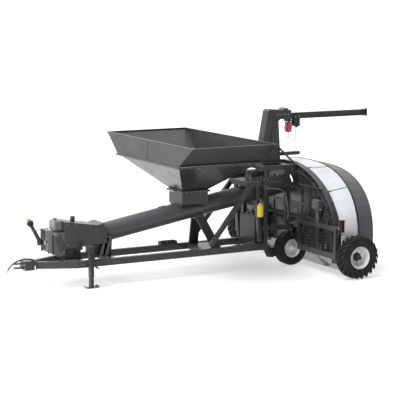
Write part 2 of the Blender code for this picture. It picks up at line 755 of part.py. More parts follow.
def front_frame():
    half = TUBE / 2
    mesh, matrix = slab(SIDE_X, BEAM_FRONT, BEAM_REAR, BEAM_LOW, BEAM_TOP)
    frame = add("tunnel_frame", mesh, CHARCOAL, matrix)
    low = 0.42
    for _, sign in SIDES:
        ends = sorted((sign * 0.66, sign * (SIDE_X - 0.003)))
        join(frame, box((ends[0], BEAM_FRONT + 0.002, low), (ends[1], BEAM_REAR - 0.002, low + 0.125)))
        for place in (0.71, 1.50, SIDE_X - half - 0.005):
            x = sign * place
            join(frame, box((x - half + 0.004, BEAM_FRONT + 0.004, low + 0.02),
                            (x + half - 0.004, BEAM_REAR - 0.004, BEAM_TOP - 0.02)))
        sill = sorted((sign * (ARCH_A + 0.025), sign * SIDE_X))
        join(frame, box((sill[0], BEAM_FRONT + 0.006, low + 0.002), (sill[1], SKIRT_REAR, low + 0.123)),
             rod((sign * (SIDE_X - 0.03), WHEEL_Y, WHEEL_R), (sign * 2.56, WHEEL_Y, WHEEL_R), 0.035))


# Tunnel --------------------------------------------------------------------------------------

def arch(half_width, height, power, steps=22, foot=ARCH_FOOT):
    """(x, z) round an arch: straight feet, then a superellipse over the top."""
    points = [(half_width, foot)]
    for step in range(steps + 1):
        angle = math.pi * step / steps
        x = math.copysign(abs(math.cos(angle)) ** (2 / power), math.cos(angle)) * half_width
        z = ARCH_Z + height * math.sin(angle) ** (2 / power)
        points.append((x, z))
    points.append((-half_width, foot))
    return points


def arch_shell(name, front, rear, material, wall):
    """An arched sheet between two (y, half width, height, power) sections."""
    sections = []
    for y, half_width, height, power in (front, rear):
        outer = arch(half_width, height, power)
        inner = arch(half_width - wall, height - wall, power)
        sections.append([(x, y, z) for x, z in outer + inner[::-1]])
    return add(name, smooth(loft(sections), 30), material)


def tunnel():
    wall = 0.008
    outer = arch(ARCH_A + 0.02, ARCH_B + 0.02, ARCH_POWER)
    inner = arch(ARCH_A - 0.20, ARCH_B - 0.20, ARCH_POWER)
    mesh, matrix = front_plate(outer + inner[::-1], RING_FRONT, RING_REAR - 0.02)
    add("tunnel_ring", mesh, CHARCOAL, matrix)
    wide = ARCH_A - 0.20 - GAP
    high = ARCH_B - 0.20 - GAP
    low = 0.46
    clear = 0.04
    inside = GAUGE_X - GAUGE_W / 2 - clear
    outside = GAUGE_X + GAUGE_W / 2 + clear
    roof = 0.88
    panel = [(x, z) for x, z in arch(wide, high, ARCH_POWER) if z > low]
    panel = [(wide, low)] + panel + [(-wide, low), (inside, low), (inside, roof), (outside, roof), (outside, low)]
    hole_z = axis_height(2.36)
    hole = [(x, z) for x, z in arc(0, hole_z, TUBE_R + 0.0075, 0, 348, 29)]
    mesh, matrix = front_plate(panel, 2.345, 2.352, [hole])
    add("tunnel_front_wall", mesh, GREY, matrix)
    arch_shell("tunnel_band", (RING_REAR - 0.02 + GAP, ARCH_A, ARCH_B, ARCH_POWER),
               (BAND_REAR, ARCH_A + 0.02, ARCH_B + 0.01, REAR_POWER), WHITE, wall)
    arch_shell("tunnel_skirt", (SKIRT_FRONT, ARCH_A + 0.005, ARCH_B - 0.02, REAR_POWER),
               (SKIRT_REAR, ARCH_A, ARCH_B - 0.02 - SKIRT_DROP, REAR_POWER + 0.1), GREY, wall)


def tunnel_rib():
    """The arched bar inside the shell that the band and the skirt are fixed to."""
    outer = arch(ARCH_A - 0.005, ARCH_B - 0.036, REAR_POWER)
    inner = arch(ARCH_A - 0.05, ARCH_B - 0.08, REAR_POWER)
    mesh, matrix = front_plate(outer + inner[::-1], 2.86, 2.93)
    add("tunnel_rib", mesh, CHARCOAL, matrix)


def bag_pan():
    base = 0.07
    lift = 0.22
    half = 1.70
    profile = [(-half - 0.18, lift), (-half, base), (half, base), (half + 0.18, lift),
               (half + 0.174, lift + 0.008), (half - 0.004, base + 0.008), (-half + 0.004, base + 0.008),
               (-half - 0.174, lift + 0.008)]
    mesh, matrix = front_plate(profile, 2.60, 3.26)
    pan = add("bag_pan", mesh, ZINC, matrix)
    for _, sign in SIDES:
        x = sign * 1.20
        join(pan, side_plate([(2.37, 0.37), (2.37, 0.31), (2.62, base + 0.002), (2.78, base + 0.002)],
                             x - 0.02, x + 0.02),
             rod((x - 0.035, 2.36, 0.36), (x + 0.035, 2.36, 0.36), 0.03))


# Mast and hoist ------------------------------------------------------------------------------

def mast():
    foot = TOP_RAIL + TUBE / 2 + GAP
    outer = [(1.47, foot), (2.06, foot), (2.04, 2.74), (2.00, 3.35), (2.05, 3.39), (2.30, 3.39), (2.30, 3.57),
             (2.235, 3.645), (2.185, 3.645), (2.12, 3.60), (1.77, 3.63), (1.72, 3.59), (1.60, 2.95)]
    hollow = [(1.48, foot - 0.02), (2.05, foot - 0.02), (2.03, 2.74), (1.99, 3.35), (1.99, 3.60), (1.775, 3.619),
              (1.73, 3.585), (1.61, 2.95)]
    mesh, matrix = side_plate(outer, -MAST_HALF, MAST_HALF)
    post = add("mast", mesh, CHARCOAL, matrix)
    cut(post, side_plate(hollow, SHEET - MAST_HALF, MAST_HALF - SHEET))
    lug = [(-0.06, 2.26), (0.06, 2.26), (0.06, PIVOT_Y)] + arc(0, PIVOT_Y, 0.06, 0, 180, 8)[1:]
    join(post, plan_plate(lug, 3.545, 3.575), plan_plate(lug, 3.325, 3.355),
         slab(0.059, 2.25, 2.29, 3.33, 3.57), rod((0, 2.02, 2.57), (0, 2.64, 2.57), 0.045))


def boom():
    half = BOOM_FLANGE / 2
    flange = 0.010
    start = PIVOT_Y + 0.021
    mesh, matrix = slab(0.005, start + 0.002, BOOM_END - 0.002, BOOM_LOW + 0.002, BOOM_TOP - 0.002)
    beam = add("hoist_boom", mesh, CHARCOAL, matrix)
    join(beam, slab(half, start, BOOM_END, BOOM_LOW, BOOM_LOW + flange),
         slab(half, start, BOOM_END, BOOM_TOP - flange, BOOM_TOP),
         slab(0.046, PIVOT_Y + 0.005, PIVOT_Y + 0.075, BOOM_LOW + 0.004, BOOM_TOP - 0.004),
         rod((0, PIVOT_Y, 3.355 + GAP), (0, PIVOT_Y, 3.545 - GAP), 0.045, 14))


def trolley():
    y = 2.54
    out = BOOM_FLANGE / 2 + 0.004
    drop = 3.20
    plate = 0.008
    mesh, matrix = box((out, y - 0.08, drop), (out + plate, y + 0.08, 3.46))
    carriage = add("hoist_trolley", mesh, BLACK, matrix)
    join(carriage, box((-out - plate, y - 0.078, drop + 0.002), (-out, y + 0.078, 3.458)),
         box((-out - 0.004, y - 0.07, drop + 0.01), (out + 0.004, y + 0.07, drop + 0.06)),
         rod((0.012, y, 3.43), (out + 0.004, y, 3.43), 0.028),
         rod((-out - 0.004, y, 3.43), (-0.012, y, 3.43), 0.028))


def hoist():
    mesh, matrix = box((-0.06, 2.27, 3.07), (0.06, 2.40, 3.31))
    body = add("chain_hoist", mesh, RED, matrix)
    body.modifiers.new("edges", "BEVEL").width = 0.02
    hook_y = 2.335
    join(body, box((-0.03, 2.39, 3.215), (0.03, 2.4597, 3.25)),
         rod((-0.075, hook_y, 3.18), (0.075, hook_y, 3.18), 0.06))
    hook = arc(hook_y, 2.985, 0.03, 90, -180, 12)
    points = [(0, hook_y, 3.0697), (0, hook_y, 3.04)] + [(0, u, v) for u, v in hook]
    mesh = welded(tube_curve(points, 0.009, 2))
    add("hoist_hook", mesh, STEEL)


HAND_CHAIN = [(0.035, 2.56, 3.1997), (0.036, 2.56, 3.00), (0.036, 2.56, 2.80), (0.034, 2.56, 2.71),
              (0.022, 2.56, 2.66), (0.0, 2.56, 2.64), (-0.022, 2.56, 2.66), (-0.034, 2.56, 2.71),
              (-0.036, 2.56, 2.80), (-0.036, 2.56, 3.00), (-0.035, 2.56, 3.1997)]


def hand_chain():
    chain = bpy.data.objects.new("hand_chain", tube_curve(HAND_CHAIN, 0.005, 2))
    chain.data.materials.append(STEEL)
    parts.objects.link(chain)


# Wheels --------------------------------------------------------------------------------------

def wheel(name, x, y, radius, rim_radius, width, sign):
    """A tyre and its rim; the sign says which way the wheel's outer face looks."""
    half = width / 2
    turn = Matrix.Translation((x, y, radius)) @ Matrix.Rotation(sign * math.pi / 2, 4, "Y")
    seat = rim_radius + GAP
    shoulder = radius - 0.025
    tyre = [(seat, half * 0.86), (rim_radius + 0.03, half * 0.96), (radius - 0.07, half),
            (shoulder, half * 0.93), (radius, half * 0.7), (radius, -half * 0.7), (shoulder, -half * 0.93),
            (radius - 0.07, -half), (rim_radius + 0.03, -half * 0.96), (seat, -half * 0.86)]
    turned(f"{name}_tyre", tyre, RUBBER, turn, WHEEL_STEPS)
    well = rim_radius - 0.03
    dish = half * 0.20
    bore = 0.0365
    rim = [(rim_radius, half * 0.86), (rim_radius, half * 0.70), (well, half * 0.55), (well, -half * 0.62),
           (rim_radius, -half * 0.74), (rim_radius, -half * 0.86), (rim_radius - 0.010, -half * 0.86),
           (well - 0.008, -half * 0.60), (well - 0.008, dish - 0.008), (0.085, dish + 0.022), (0.085, dish - 0.06),
           (bore, dish - 0.06), (bore, dish + 0.09), (0.06, dish + 0.09), (0.07, dish + 0.034),
           (well - 0.008, dish + 0.004), (well - 0.008, half * 0.56), (rim_radius - 0.010, half * 0.86)]
    turned(f"{name}_rim", rim, WHITE, turn, WHEEL_STEPS)


def wheels():
    for side, sign in SIDES:
        wheel(f"wheel_{side}", sign * WHEEL_X, WHEEL_Y, WHEEL_R, WHEEL_RIM_R, WHEEL_W, sign)
    wheel("gauge_wheel", GAUGE_X, GAUGE_Y, GAUGE_R, GAUGE_RIM_R, GAUGE_W, 1)


def gauge_arm():
    outer = ARM_X + ARM_W
    pivot_y, pivot_z = ARM_PIVOT
    shape = [(pivot_y - 0.05, pivot_z), (pivot_y - 0.05, pivot_z - 0.06), (1.66, 0.20), (1.80, 0.18),
             (GAUGE_Y + 0.04, GAUGE_R - 0.07), (GAUGE_Y + 0.07, GAUGE_R), (GAUGE_Y + 0.03, GAUGE_R + 0.06),
             (1.84, 0.40), (1.74, 0.42), (pivot_y + 0.05, pivot_z + 0.04), (pivot_y, pivot_z + 0.05)]
    mesh, matrix = side_plate(shape, ARM_X, outer)
    arm = add("gauge_arm", mesh, CHARCOAL, matrix)
    join(arm, rod((ARM_X + 0.02, GAUGE_Y, GAUGE_R), (GAUGE_X + 0.02, GAUGE_Y, GAUGE_R), 0.0353),
         rod((ARM_X - RUN, pivot_y, pivot_z), (outer + RUN, pivot_y, pivot_z), 0.040))


# Hydraulics and lights -----------------------------------------------------------------------

def hydraulics():
    top = 1.20
    mesh, matrix = slab(0.35, TANK_FRONT, TANK_REAR, RAIL_TOP + GAP, top)
    tank = add("hydraulic_tank", mesh, CHARCOAL, matrix)
    tank.modifiers.new("edges", "BEVEL").width = 0.012
    face = RAIL_X + 0.046 + GAP
    x = face + 0.085
    mesh, matrix = rod((x, 1.235, 1.235), (x, 1.235, 1.50), 0.070, 20)
    canister = add("filter_canister", mesh, YELLOW, matrix)
    join(canister, rod((x, 1.235, 1.49), (x, 1.235, 1.54), 0.045),
         box((face, 1.215, 1.34), (x, 1.255, 1.42)))
    mesh, matrix = box((1.42, 2.21, BEAM_TOP + GAP), (1.52, 2.28, 1.50))
    valve = add("control_valve", mesh, GREY, matrix)
    join(valve, box((1.34, 2.15, 1.47), (1.60, 2.285, 1.66)))
    lever_x = 1.47
    mesh, matrix = rod((lever_x, 2.20, 1.66 + GAP), (lever_x, 2.14, 1.84), 0.009, 10)
    lever = add("valve_lever", mesh, BLACK, matrix)
    join(lever, rod((lever_x, 2.148, 1.81), (lever_x, 2.133, 1.86), 0.017, 12))
    cut(lever, box((lever_x - 0.05, 2.10, 1.60), (lever_x + 0.05, 2.30, 1.664)))


def marker_lights():
    for side, sign in SIDES:
        x = sign * (SIDE_X + GAP + 0.035)
        mesh, matrix = box((x - 0.035, 2.25, 1.00), (x + 0.035, 2.31, 1.26))
        light = add(f"marker_light_{side}", mesh, AMBER, matrix)
        join(light, rod((x, 2.28, 1.25), (x, 2.28, 1.31), 0.025, 14))


HOSE_SPACING = 0.032
HOSE_ROUTE = [(0.110, -4.150, 0.640), (0.110, -4.190, 0.655), (0.111, -4.240, 0.668), (0.112, -4.300, 0.674),
              (0.113, -4.360, 0.670), (0.114, -4.420, 0.658), (0.115, -4.480, 0.640), (0.115, -4.540, 0.614),
              (0.114, -4.595, 0.580), (0.113, -4.640, 0.540), (0.112, -4.675, 0.500), (0.110, -4.700, 0.462)]
HOSE_R = 0.016


def smooth_route(route, spacing):
    """Evenly spaced points on the smooth curve through the route's own points."""
    places = [Vector(place) for place in route]
    places = [places[0] * 2 - places[1]] + places + [places[-1] * 2 - places[-2]]
    fine = []
    for before, start, end, after in zip(places, places[1:], places[2:], places[3:]):
        for step in range(8):
            t = step / 8
            bend = 2 * before - 5 * start + 4 * end - after
            twist = 3 * start - before - 3 * end + after
            fine.append(0.5 * (2 * start + (end - before) * t + bend * t ** 2 + twist * t ** 3))
    fine.append(places[-2])
    kept = [fine[0]]
    for place in fine[1:-1]:
        if (place - kept[-1]).length >= spacing:
            kept.append(place)
    kept.append(fine[-1])
    return kept


def hydraulic_hose():
    route = smooth_route(HOSE_ROUTE, HOSE_SPACING)
    hose = bpy.data.objects.new("hydraulic_hose", tube_curve(route, HOSE_R, 2))
    hose.data.materials.append(BLACK)
    parts.objects.link(hose)
    before, end = route[-2:]
    along = (end - before).normalized()
    start = end + along * GAP
    mesh, matrix = rod(start, start + along * 0.035, 0.019, 12)
    coupler = add("hose_coupler", mesh, STEEL, matrix)
    join(coupler, rod(start + along * 0.03, start + along * 0.075, 0.023, 12))


drawbar()
nose_block()
jack()
drive_pedestal()
auger_bracket()
auger_cradle()
auger_tube()
auger_screw()
drive_housing()
gearbox()
drive_guard()
front_shield()
hydraulic_pump()
input_shaft()
pto_shaft()
hopper_chute()
hopper_gate()
hopper_funnel()
hopper_panels()
hopper_support()
side_frames()
cross_frame()
front_frame()
tunnel()
tunnel_rib()
bag_pan()
mast()
boom()
trolley()
hoist()
hand_chain()
wheels()
gauge_arm()
hydraulics()
marker_lights()
hydraulic_hose()
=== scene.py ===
"""Looks, camera and light for the towed grain bagger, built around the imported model."""

import json
import math

import bmesh
import bpy
from mathutils import Matrix, Vector


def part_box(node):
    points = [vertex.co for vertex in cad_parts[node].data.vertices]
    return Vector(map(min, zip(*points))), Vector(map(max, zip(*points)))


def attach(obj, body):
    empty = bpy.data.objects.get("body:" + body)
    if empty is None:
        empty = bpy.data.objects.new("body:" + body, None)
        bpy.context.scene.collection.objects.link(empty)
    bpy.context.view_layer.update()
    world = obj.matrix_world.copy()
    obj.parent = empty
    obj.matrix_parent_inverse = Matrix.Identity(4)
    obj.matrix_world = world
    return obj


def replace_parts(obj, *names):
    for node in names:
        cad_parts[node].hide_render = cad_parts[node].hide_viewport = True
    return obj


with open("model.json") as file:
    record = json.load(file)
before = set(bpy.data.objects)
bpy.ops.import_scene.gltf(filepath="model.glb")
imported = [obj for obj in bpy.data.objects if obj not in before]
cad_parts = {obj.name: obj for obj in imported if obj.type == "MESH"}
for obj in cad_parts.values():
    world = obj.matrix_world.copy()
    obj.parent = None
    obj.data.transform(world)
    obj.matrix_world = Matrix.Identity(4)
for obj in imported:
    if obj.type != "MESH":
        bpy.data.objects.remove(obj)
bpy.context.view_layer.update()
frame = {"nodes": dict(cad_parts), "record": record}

nodes = frame["nodes"]
slots = {part["node"]: part["material_slot"] for part in frame["record"]["subparts"]}
SIDES = (("left", 1), ("right", -1))
HULL = "chassis"


def show(name, data):
    """A new object in the scene for a mesh, curve, lamp or camera."""
    made = bpy.data.objects.new(name, data)
    bpy.context.scene.collection.objects.link(made)
    return made


# Camera --------------------------------------------------

camera_data = bpy.data.cameras.new("camera")
camera_data.lens = 127.85
camera_data.sensor_width = 36
camera_data.clip_end = 200
camera = show("camera", camera_data)
camera.location = (28.122, -15.159, 6.394)
camera.rotation_euler = (math.radians(81.516), 0, math.radians(61.677))
bpy.context.scene.camera = camera


# Node helpers --------------------------------------------

class Nodes:
    """A material's node tree with short ways to add to it."""

    def __init__(self, name):
        self.material = bpy.data.materials.new(name)
        self.material.use_nodes = True
        self.tree = self.material.node_tree
        self.shader = self.tree.nodes["Principled BSDF"]
        self.place = self.node("ShaderNodeTexCoord").outputs["Object"]

    def node(self, kind, **settings):
        made = self.tree.nodes.new(kind)
        for key, value in settings.items():
            setattr(made, key, value)
        return made

    def link(self, source, target):
        self.tree.links.new(source, target)

    def feed(self, value, socket):
        """Links a node's output to a socket, or sets a plain number or colour on it."""
        if isinstance(value, bpy.types.NodeSocket):
            self.link(value, socket)
        else:
            socket.default_value = (*value, 1) if isinstance(value, tuple) else value

    def stretched(self, scale):
        mapping = self.node("ShaderNodeMapping")
        mapping.inputs["Scale"].default_value = scale
        self.link(self.place, mapping.inputs["Vector"])
        return mapping.outputs["Vector"]

    def noise(self, scale, detail=3.0, where=None):
        noise = self.node("ShaderNodeTexNoise")
        noise.inputs["Scale"].default_value = scale
        noise.inputs["Detail"].default_value = detail
        self.link(where or self.place, noise.inputs["Vector"])
        return noise.outputs["Fac"]

    def ramp(self, factor, *stops):
        """Stops are (position, grey value or colour)."""
        ramp = self.node("ShaderNodeValToRGB")
        for band, (position, value) in zip(ramp.color_ramp.elements, stops):
            band.position = position
            colour = (value, value, value) if isinstance(value, float) else value
            band.color = (*colour, 1)
        self.link(factor, ramp.inputs["Fac"])
        return ramp.outputs["Color"]

    def mix(self, factor, first, second):
        mix = self.node("ShaderNodeMix", data_type="RGBA")
        self.feed(factor, mix.inputs["Factor"])
        colours = [socket for socket in mix.inputs if socket.type == "RGBA"]
        for value, socket in zip((first, second), colours):
            self.feed(value, socket)
        return next(socket for socket in mix.outputs if socket.type == "RGBA")

    def times(self, first, second):
        product = self.node("ShaderNodeMath", operation="MULTIPLY")
        for value, socket in zip((first, second), product.inputs):
            self.feed(value, socket)
        return product.outputs["Value"]

    def span(self, value, low, high):
        """0 where the value is at low, 1 where it is at high."""
        reach = self.node("ShaderNodeMapRange")
        reach.inputs["From Min"].default_value = low
        reach.inputs["From Max"].default_value = high
        self.link(value, reach.inputs["Value"])
        return reach.outputs["Result"]

    def split(self, vector):
        """A vector's X, Y and Z."""
        parts = self.node("ShaderNodeSeparateXYZ")
        self.link(vector, parts.inputs["Vector"])
        return parts.outputs

    def normal(self):
        return self.node("ShaderNodeNewGeometry").outputs["Normal"]

    def edges(self, radius):
        """1 near sharp edges, 0 on flat faces."""
        bevel = self.node("ShaderNodeBevel", samples=4)
        bevel.inputs["Radius"].default_value = radius
        dot = self.node("ShaderNodeVectorMath", operation="DOT_PRODUCT")
        self.link(bevel.outputs["Normal"], dot.inputs[0])
        self.link(self.normal(), dot.inputs[1])
        return self.ramp(dot.outputs["Value"], (0.90, 1.0), (0.995, 0.0))

    def low_dust(self, top):
        """1 at the ground, 0 above the given height."""
        return self.span(self.split(self.place)["Z"], top, 0.0)

    def facing_up(self):
        """1 on level tops, 0 on walls and undersides."""
        return self.span(self.split(self.normal())["Z"], 0.25, 1.0)

    def side_underside(self):
        """1 on faces that lean out and down over the sides of the machine, 0 elsewhere; the mask of the
        paint's painted shade.
        """
        facing = self.split(self.normal())
        sideways = self.node("ShaderNodeMath", operation="ABSOLUTE")
        self.link(facing["X"], sideways.inputs[0])
        lean = self.times(sideways.outputs["Value"], self.times(facing["Z"], -1.0))
        return self.span(lean, 0.15, 0.42)

    def bump(self, height, strength, distance):
        bump = self.node("ShaderNodeBump")
        bump.inputs["Strength"].default_value = strength
        bump.inputs["Distance"].default_value = distance
        self.link(height, bump.inputs["Height"])
        self.link(bump.outputs["Normal"], self.shader.inputs["Normal"])

    def done(self, colour, roughness, metallic=0.0, coat=0.0, specular=0.5):
        self.link(colour, self.shader.inputs["Base Color"])
        self.link(roughness, self.shader.inputs["Roughness"])
        self.shader.inputs["Metallic"].default_value = metallic
        self.shader.inputs["Coat Weight"].default_value = coat
        self.shader.inputs["Coat Roughness"].default_value = 0.18
        self.feed(specular, self.shader.inputs["Specular IOR Level"])
        return self.material


# Materials -----------------------------------------------

SOIL = (0.20, 0.17, 0.14)
# Pale grey for dust and painted top light on the tops of dark paint.
DUST_AND_TOP_LIGHT_GREY = (0.12, 0.12, 0.125)
RUST = (0.16, 0.08, 0.04)


def shade(colour, factor):
    return tuple(min(1.0, channel * factor) for channel in colour)


def paint(name, colour, rough=0.40, wear=(0.16, 0.16, 0.165), coat=0.12):
    """Sprayed paint: cloudy colour, orange peel, rubbed edges, soil low down, dust and painted top light on
    dark tops, and painted shade on faces that lean out and down over the sides.
    """
    n = Nodes(name)
    clouds = n.ramp(n.noise(1.7, 5.0), (0.30, shade(colour, 0.86)), (0.70, shade(colour, 1.12)))
    streaks = n.noise(9.0, 4.0, n.stretched((1.0, 1.0, 0.12)))
    cloudy = n.mix(n.times(streaks, 0.22), clouds, shade(colour, 1.45))
    speckle = n.ramp(n.noise(38.0, 4.0), (0.50, 0.0), (0.62, 1.0))
    worn = n.mix(n.times(n.times(n.edges(0.006), speckle), 0.75), cloudy, wear)
    soil = n.times(n.low_dust(0.55), n.ramp(n.noise(6.0, 6.0), (0.42, 0.0), (0.72, 0.45)))
    tone = n.mix(soil, worn, SOIL)
    # Dust and painted top light: the upward-facing tops of dark paint are lightened towards a pale grey.
    if max(colour) < DUST_AND_TOP_LIGHT_GREY[0]:
        dust_and_top_light = n.times(n.facing_up(), n.ramp(n.noise(4.0, 5.0), (0.25, 0.42), (0.75, 0.62)))
        tone = n.mix(dust_and_top_light, tone, DUST_AND_TOP_LIGHT_GREY)
    # Painted shade: faces that lean out and down over the sides are darkened, and get less specular
    # reflection.
    painted_shade_mask = n.side_underside()
    painted_underside_shade = n.mix(n.times(painted_shade_mask, 0.55), tone, shade(colour, 0.15))
    specular = n.ramp(painted_shade_mask, (0.0, 0.32), (1.0, 0.16))
    n.bump(n.noise(420.0, 2.0), 0.10, 0.0010)
    gloss = n.ramp(n.noise(5.0, 4.0), (0.30, max(rough - 0.07, 0.05)), (0.75, rough + 0.09))
    return n.done(painted_underside_shade, gloss, coat=coat, specular=specular)


def galvanised(name):
    """Zinc with its patchwork of crystals."""
    n = Nodes(name)
    cells = n.node("ShaderNodeTexVoronoi")
    cells.inputs["Scale"].default_value = 55.0
    n.link(n.place, cells.inputs["Vector"])
    tones = n.ramp(cells.outputs["Distance"], (0.0, (0.36, 0.37, 0.38)), (0.7, (0.56, 0.57, 0.58)))
    stained = n.mix(n.ramp(n.noise(3.0, 5.0), (0.45, 0.0), (0.75, 0.5)), tones, (0.30, 0.30, 0.29))
    n.bump(n.noise(60.0, 3.0), 0.12, 0.001)
    return n.done(stained, n.ramp(cells.outputs["Distance"], (0.0, 0.34), (0.8, 0.55)), metallic=0.85)


def steel(name, tone=0.50):
    """Bare steel rubbed along its length, with light rust in patches."""
    n = Nodes(name)
    grain = n.noise(60.0, 4.0, n.stretched((4.0, 0.4, 4.0)))
    base = n.ramp(grain, (0.35, tone * 0.75), (0.70, tone * 1.1))
    rusted = n.mix(n.ramp(n.noise(14.0, 6.0), (0.60, 0.0), (0.80, 0.55)), base, RUST)
    n.bump(grain, 0.12, 0.0008)
    return n.done(rusted, n.ramp(grain, (0.3, 0.26), (0.7, 0.46)), metallic=1.0)


def rubber(name):
    """Black rubber, scuffed along its edges, with dust in patches."""
    n = Nodes(name)
    base = n.ramp(n.noise(7.0, 6.0), (0.3, (0.008, 0.008, 0.0088)), (0.7, 0.015))
    worn = n.mix(n.times(n.edges(0.012), n.noise(22.0, 3.0)), base, (0.045, 0.044, 0.042))
    patches = n.ramp(n.noise(11.0, 7.0), (0.50, 0.0), (0.80, 0.14))
    dusty = n.mix(patches, worn, (0.10, 0.092, 0.082))
    n.bump(n.noise(150.0, 4.0), 0.25, 0.002)
    return n.done(dusty, n.ramp(n.noise(18.0, 3.0), (0.3, 0.62), (0.7, 0.84)), specular=0.25)


def plastic(name, colour, rough=0.30, coat=0.4):
    """Moulded plastic with fine ribs."""
    n = Nodes(name)
    base = n.ramp(n.noise(12.0, 4.0), (0.3, shade(colour, 0.85)), (0.7, shade(colour, 1.1)))
    ribs = n.node("ShaderNodeTexWave")
    ribs.inputs["Scale"].default_value = 22.0
    n.link(n.place, ribs.inputs["Vector"])
    n.bump(ribs.outputs["Fac"], 0.15, 0.001)
    return n.done(base, n.ramp(n.noise(30.0), (0.3, rough), (0.7, rough + 0.15)), coat=coat)


def braided(name):
    """Black hose cover with a fine wrapped weave."""
    n = Nodes(name)
    weave = n.node("ShaderNodeTexWave", wave_type="BANDS", bands_direction="DIAGONAL")
    weave.inputs["Scale"].default_value = 160.0
    n.link(n.place, weave.inputs["Vector"])
    base = n.ramp(weave.outputs["Fac"], (0.2, (0.006, 0.006, 0.007)), (0.8, (0.016, 0.016, 0.018)))
    n.bump(weave.outputs["Fac"], 0.35, 0.001)
    return n.done(base, n.ramp(n.noise(25.0), (0.3, 0.50), (0.7, 0.68)))


FINISH = {
    "charcoal_paint": paint("charcoal_paint_worn", (0.030, 0.032, 0.035), 0.36),
    "black_paint": paint("black_paint_worn", (0.014, 0.014, 0.016), 0.42),
    "light_grey_paint": paint("light_grey_paint_worn", (0.135, 0.138, 0.142), 0.42, (0.12, 0.12, 0.12)),
    "white_panel": paint("white_panel_sheet", (0.56, 0.57, 0.61), 0.38, (0.45, 0.45, 0.46), 0.35),
    "grey_panel": paint("grey_panel_sheet", (0.070, 0.074, 0.077), 0.46),
    "bare_steel": steel("bare_steel_rubbed"),
    "galvanised_steel": galvanised("galvanised_spangle"),
    "rubber": rubber("rubber_dusty"),
    "red_paint": paint("red_enamel", (0.42, 0.030, 0.040), 0.30, coat=0.5),
    "yellow_paint": paint("yellow_enamel", (0.66, 0.50, 0.035), 0.34, (0.3, 0.25, 0.08)),
    "amber_lens": plastic("amber_lens_ribbed", (0.85, 0.23, 0.015)),
}
MID_GREY = paint("mid_grey_paint_worn", (0.075, 0.079, 0.083), 0.42)
# A lighter copy of the charcoal paint on the auger tube: painted light on the tube.
TUBE_LIGHTENED = paint("auger_paint_worn_lightened", (0.060, 0.063, 0.068), 0.38)
# A slightly lighter, glossier copy of the charcoal paint on the funnel: painted bounce light from the floor.
GLOSSY_LIGHTENED = paint("funnel_paint_glossy_lightened", (0.034, 0.036, 0.040), 0.30, coat=0.30)
RIM_WHITE = paint("rim_white_worn", (0.70, 0.70, 0.71), 0.34, (0.30, 0.28, 0.26))
DEEP_BLACK = plastic("black_moulding", (0.010, 0.010, 0.011), 0.45, 0.1)
HOSE = braided("hose_cover")
BOLT = steel("bolt_steel", 0.32)
GREEN = plastic("green_cap", (0.02, 0.20, 0.09), 0.35)
PALE = plastic("pale_moulding", (0.70, 0.71, 0.68), 0.38)

OWN_FINISH = {"drive_guard": MID_GREY, "marker_light_left": DEEP_BLACK, "marker_light_right": DEEP_BLACK,
              "hydraulic_hose": HOSE, "tunnel_ring": FINISH["black_paint"],
              "tunnel_front_wall": FINISH["charcoal_paint"], "hopper_funnel": GLOSSY_LIGHTENED,
              "hydraulic_tank": FINISH["black_paint"], "auger_tube": TUBE_LIGHTENED}


def soften(made, width):
    """Rounds an object's sharp edges."""
    bevel = made.modifiers.new("soft_edges", "BEVEL")
    bevel.width = width
    bevel.segments = 2
    bevel.limit_method = "ANGLE"
    bevel.angle_limit = math.radians(40)


for node_name, node in nodes.items():
    node.data.materials.clear()
    node.data.materials.append(OWN_FINISH.get(node_name) or FINISH[slots[node_name]])
    soften(node, 0.0025)


# Shape helpers -------------------------------------------

def piece(name, mesh, slot, body=HULL, edge=0.002, surface=None):
    """Turns a bmesh into a piece with soft edges that rides on a body."""
    data = bpy.data.meshes.new(name)
    bmesh.ops.recalc_face_normals(mesh, faces=mesh.faces)
    mesh.to_mesh(data)
    mesh.free()
    data.shade_smooth()
    data.set_sharp_from_angle(angle=math.radians(35))
    data.materials.append(surface or FINISH[slot])
    made = show(name, data)
    if edge:
        soften(made, edge)
    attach(made, body)
    return made


def hardware(name, mesh, body=HULL, edge=0.0):
    """A piece of dull bare steel, such as a set of bolts."""
    return piece(name, mesh, "bare_steel", body, edge, BOLT)


def block(mesh, corner, opposite):
    """A box between two opposite corners."""
    low = Vector([min(pair) for pair in zip(corner, opposite)])
    high = Vector([max(pair) for pair in zip(corner, opposite)])
    matrix = Matrix.Translation((low + high) / 2) @ Matrix.Diagonal((*(high - low), 1))
    bmesh.ops.create_cube(mesh, size=1, matrix=matrix)


def rod(mesh, start, end, radius, end_radius=None, sides=20):
    """A capped cylinder or cone from start to end."""
    start = Vector(start)
    end = Vector(end)
    turn = (end - start).to_track_quat("Z", "Y").to_matrix().to_4x4()
    bmesh.ops.create_cone(mesh, cap_ends=True, segments=sides, radius1=radius,
                          radius2=end_radius or radius, depth=(end - start).length,
                          matrix=Matrix.Translation((start + end) / 2) @ turn)


def strip(mesh, start, end, width, thick, face):
    """A flat bar from start to end, lying on a surface whose normal is face."""
    start = Vector(start)
    end = Vector(end)
    along = (end - start).normalized()
    normal = (Vector(face) - along * along.dot(Vector(face))).normalized()
    side = along.cross(normal)
    turn = Matrix((side, normal, along)).transposed().to_4x4()
    size = Matrix.Diagonal((width, thick, (end - start).length, 1))
    bmesh.ops.create_cube(mesh, size=1, matrix=Matrix.Translation((start + end) / 2) @ turn @ size)


def skin(mesh, rows, ring=False):
    """Faces between rows of vertices that each go round; the rows close on themselves or get caps."""
    for row, after in zip(rows, rows[1:] + rows[:1] if ring else rows[1:]):
        for place in range(len(row)):
            beside = (place + 1) % len(row)
            mesh.faces.new((row[place], row[beside], after[beside], after[place]))
    if not ring:
        mesh.faces.new(rows[0])
        mesh.faces.new(rows[-1][::-1])


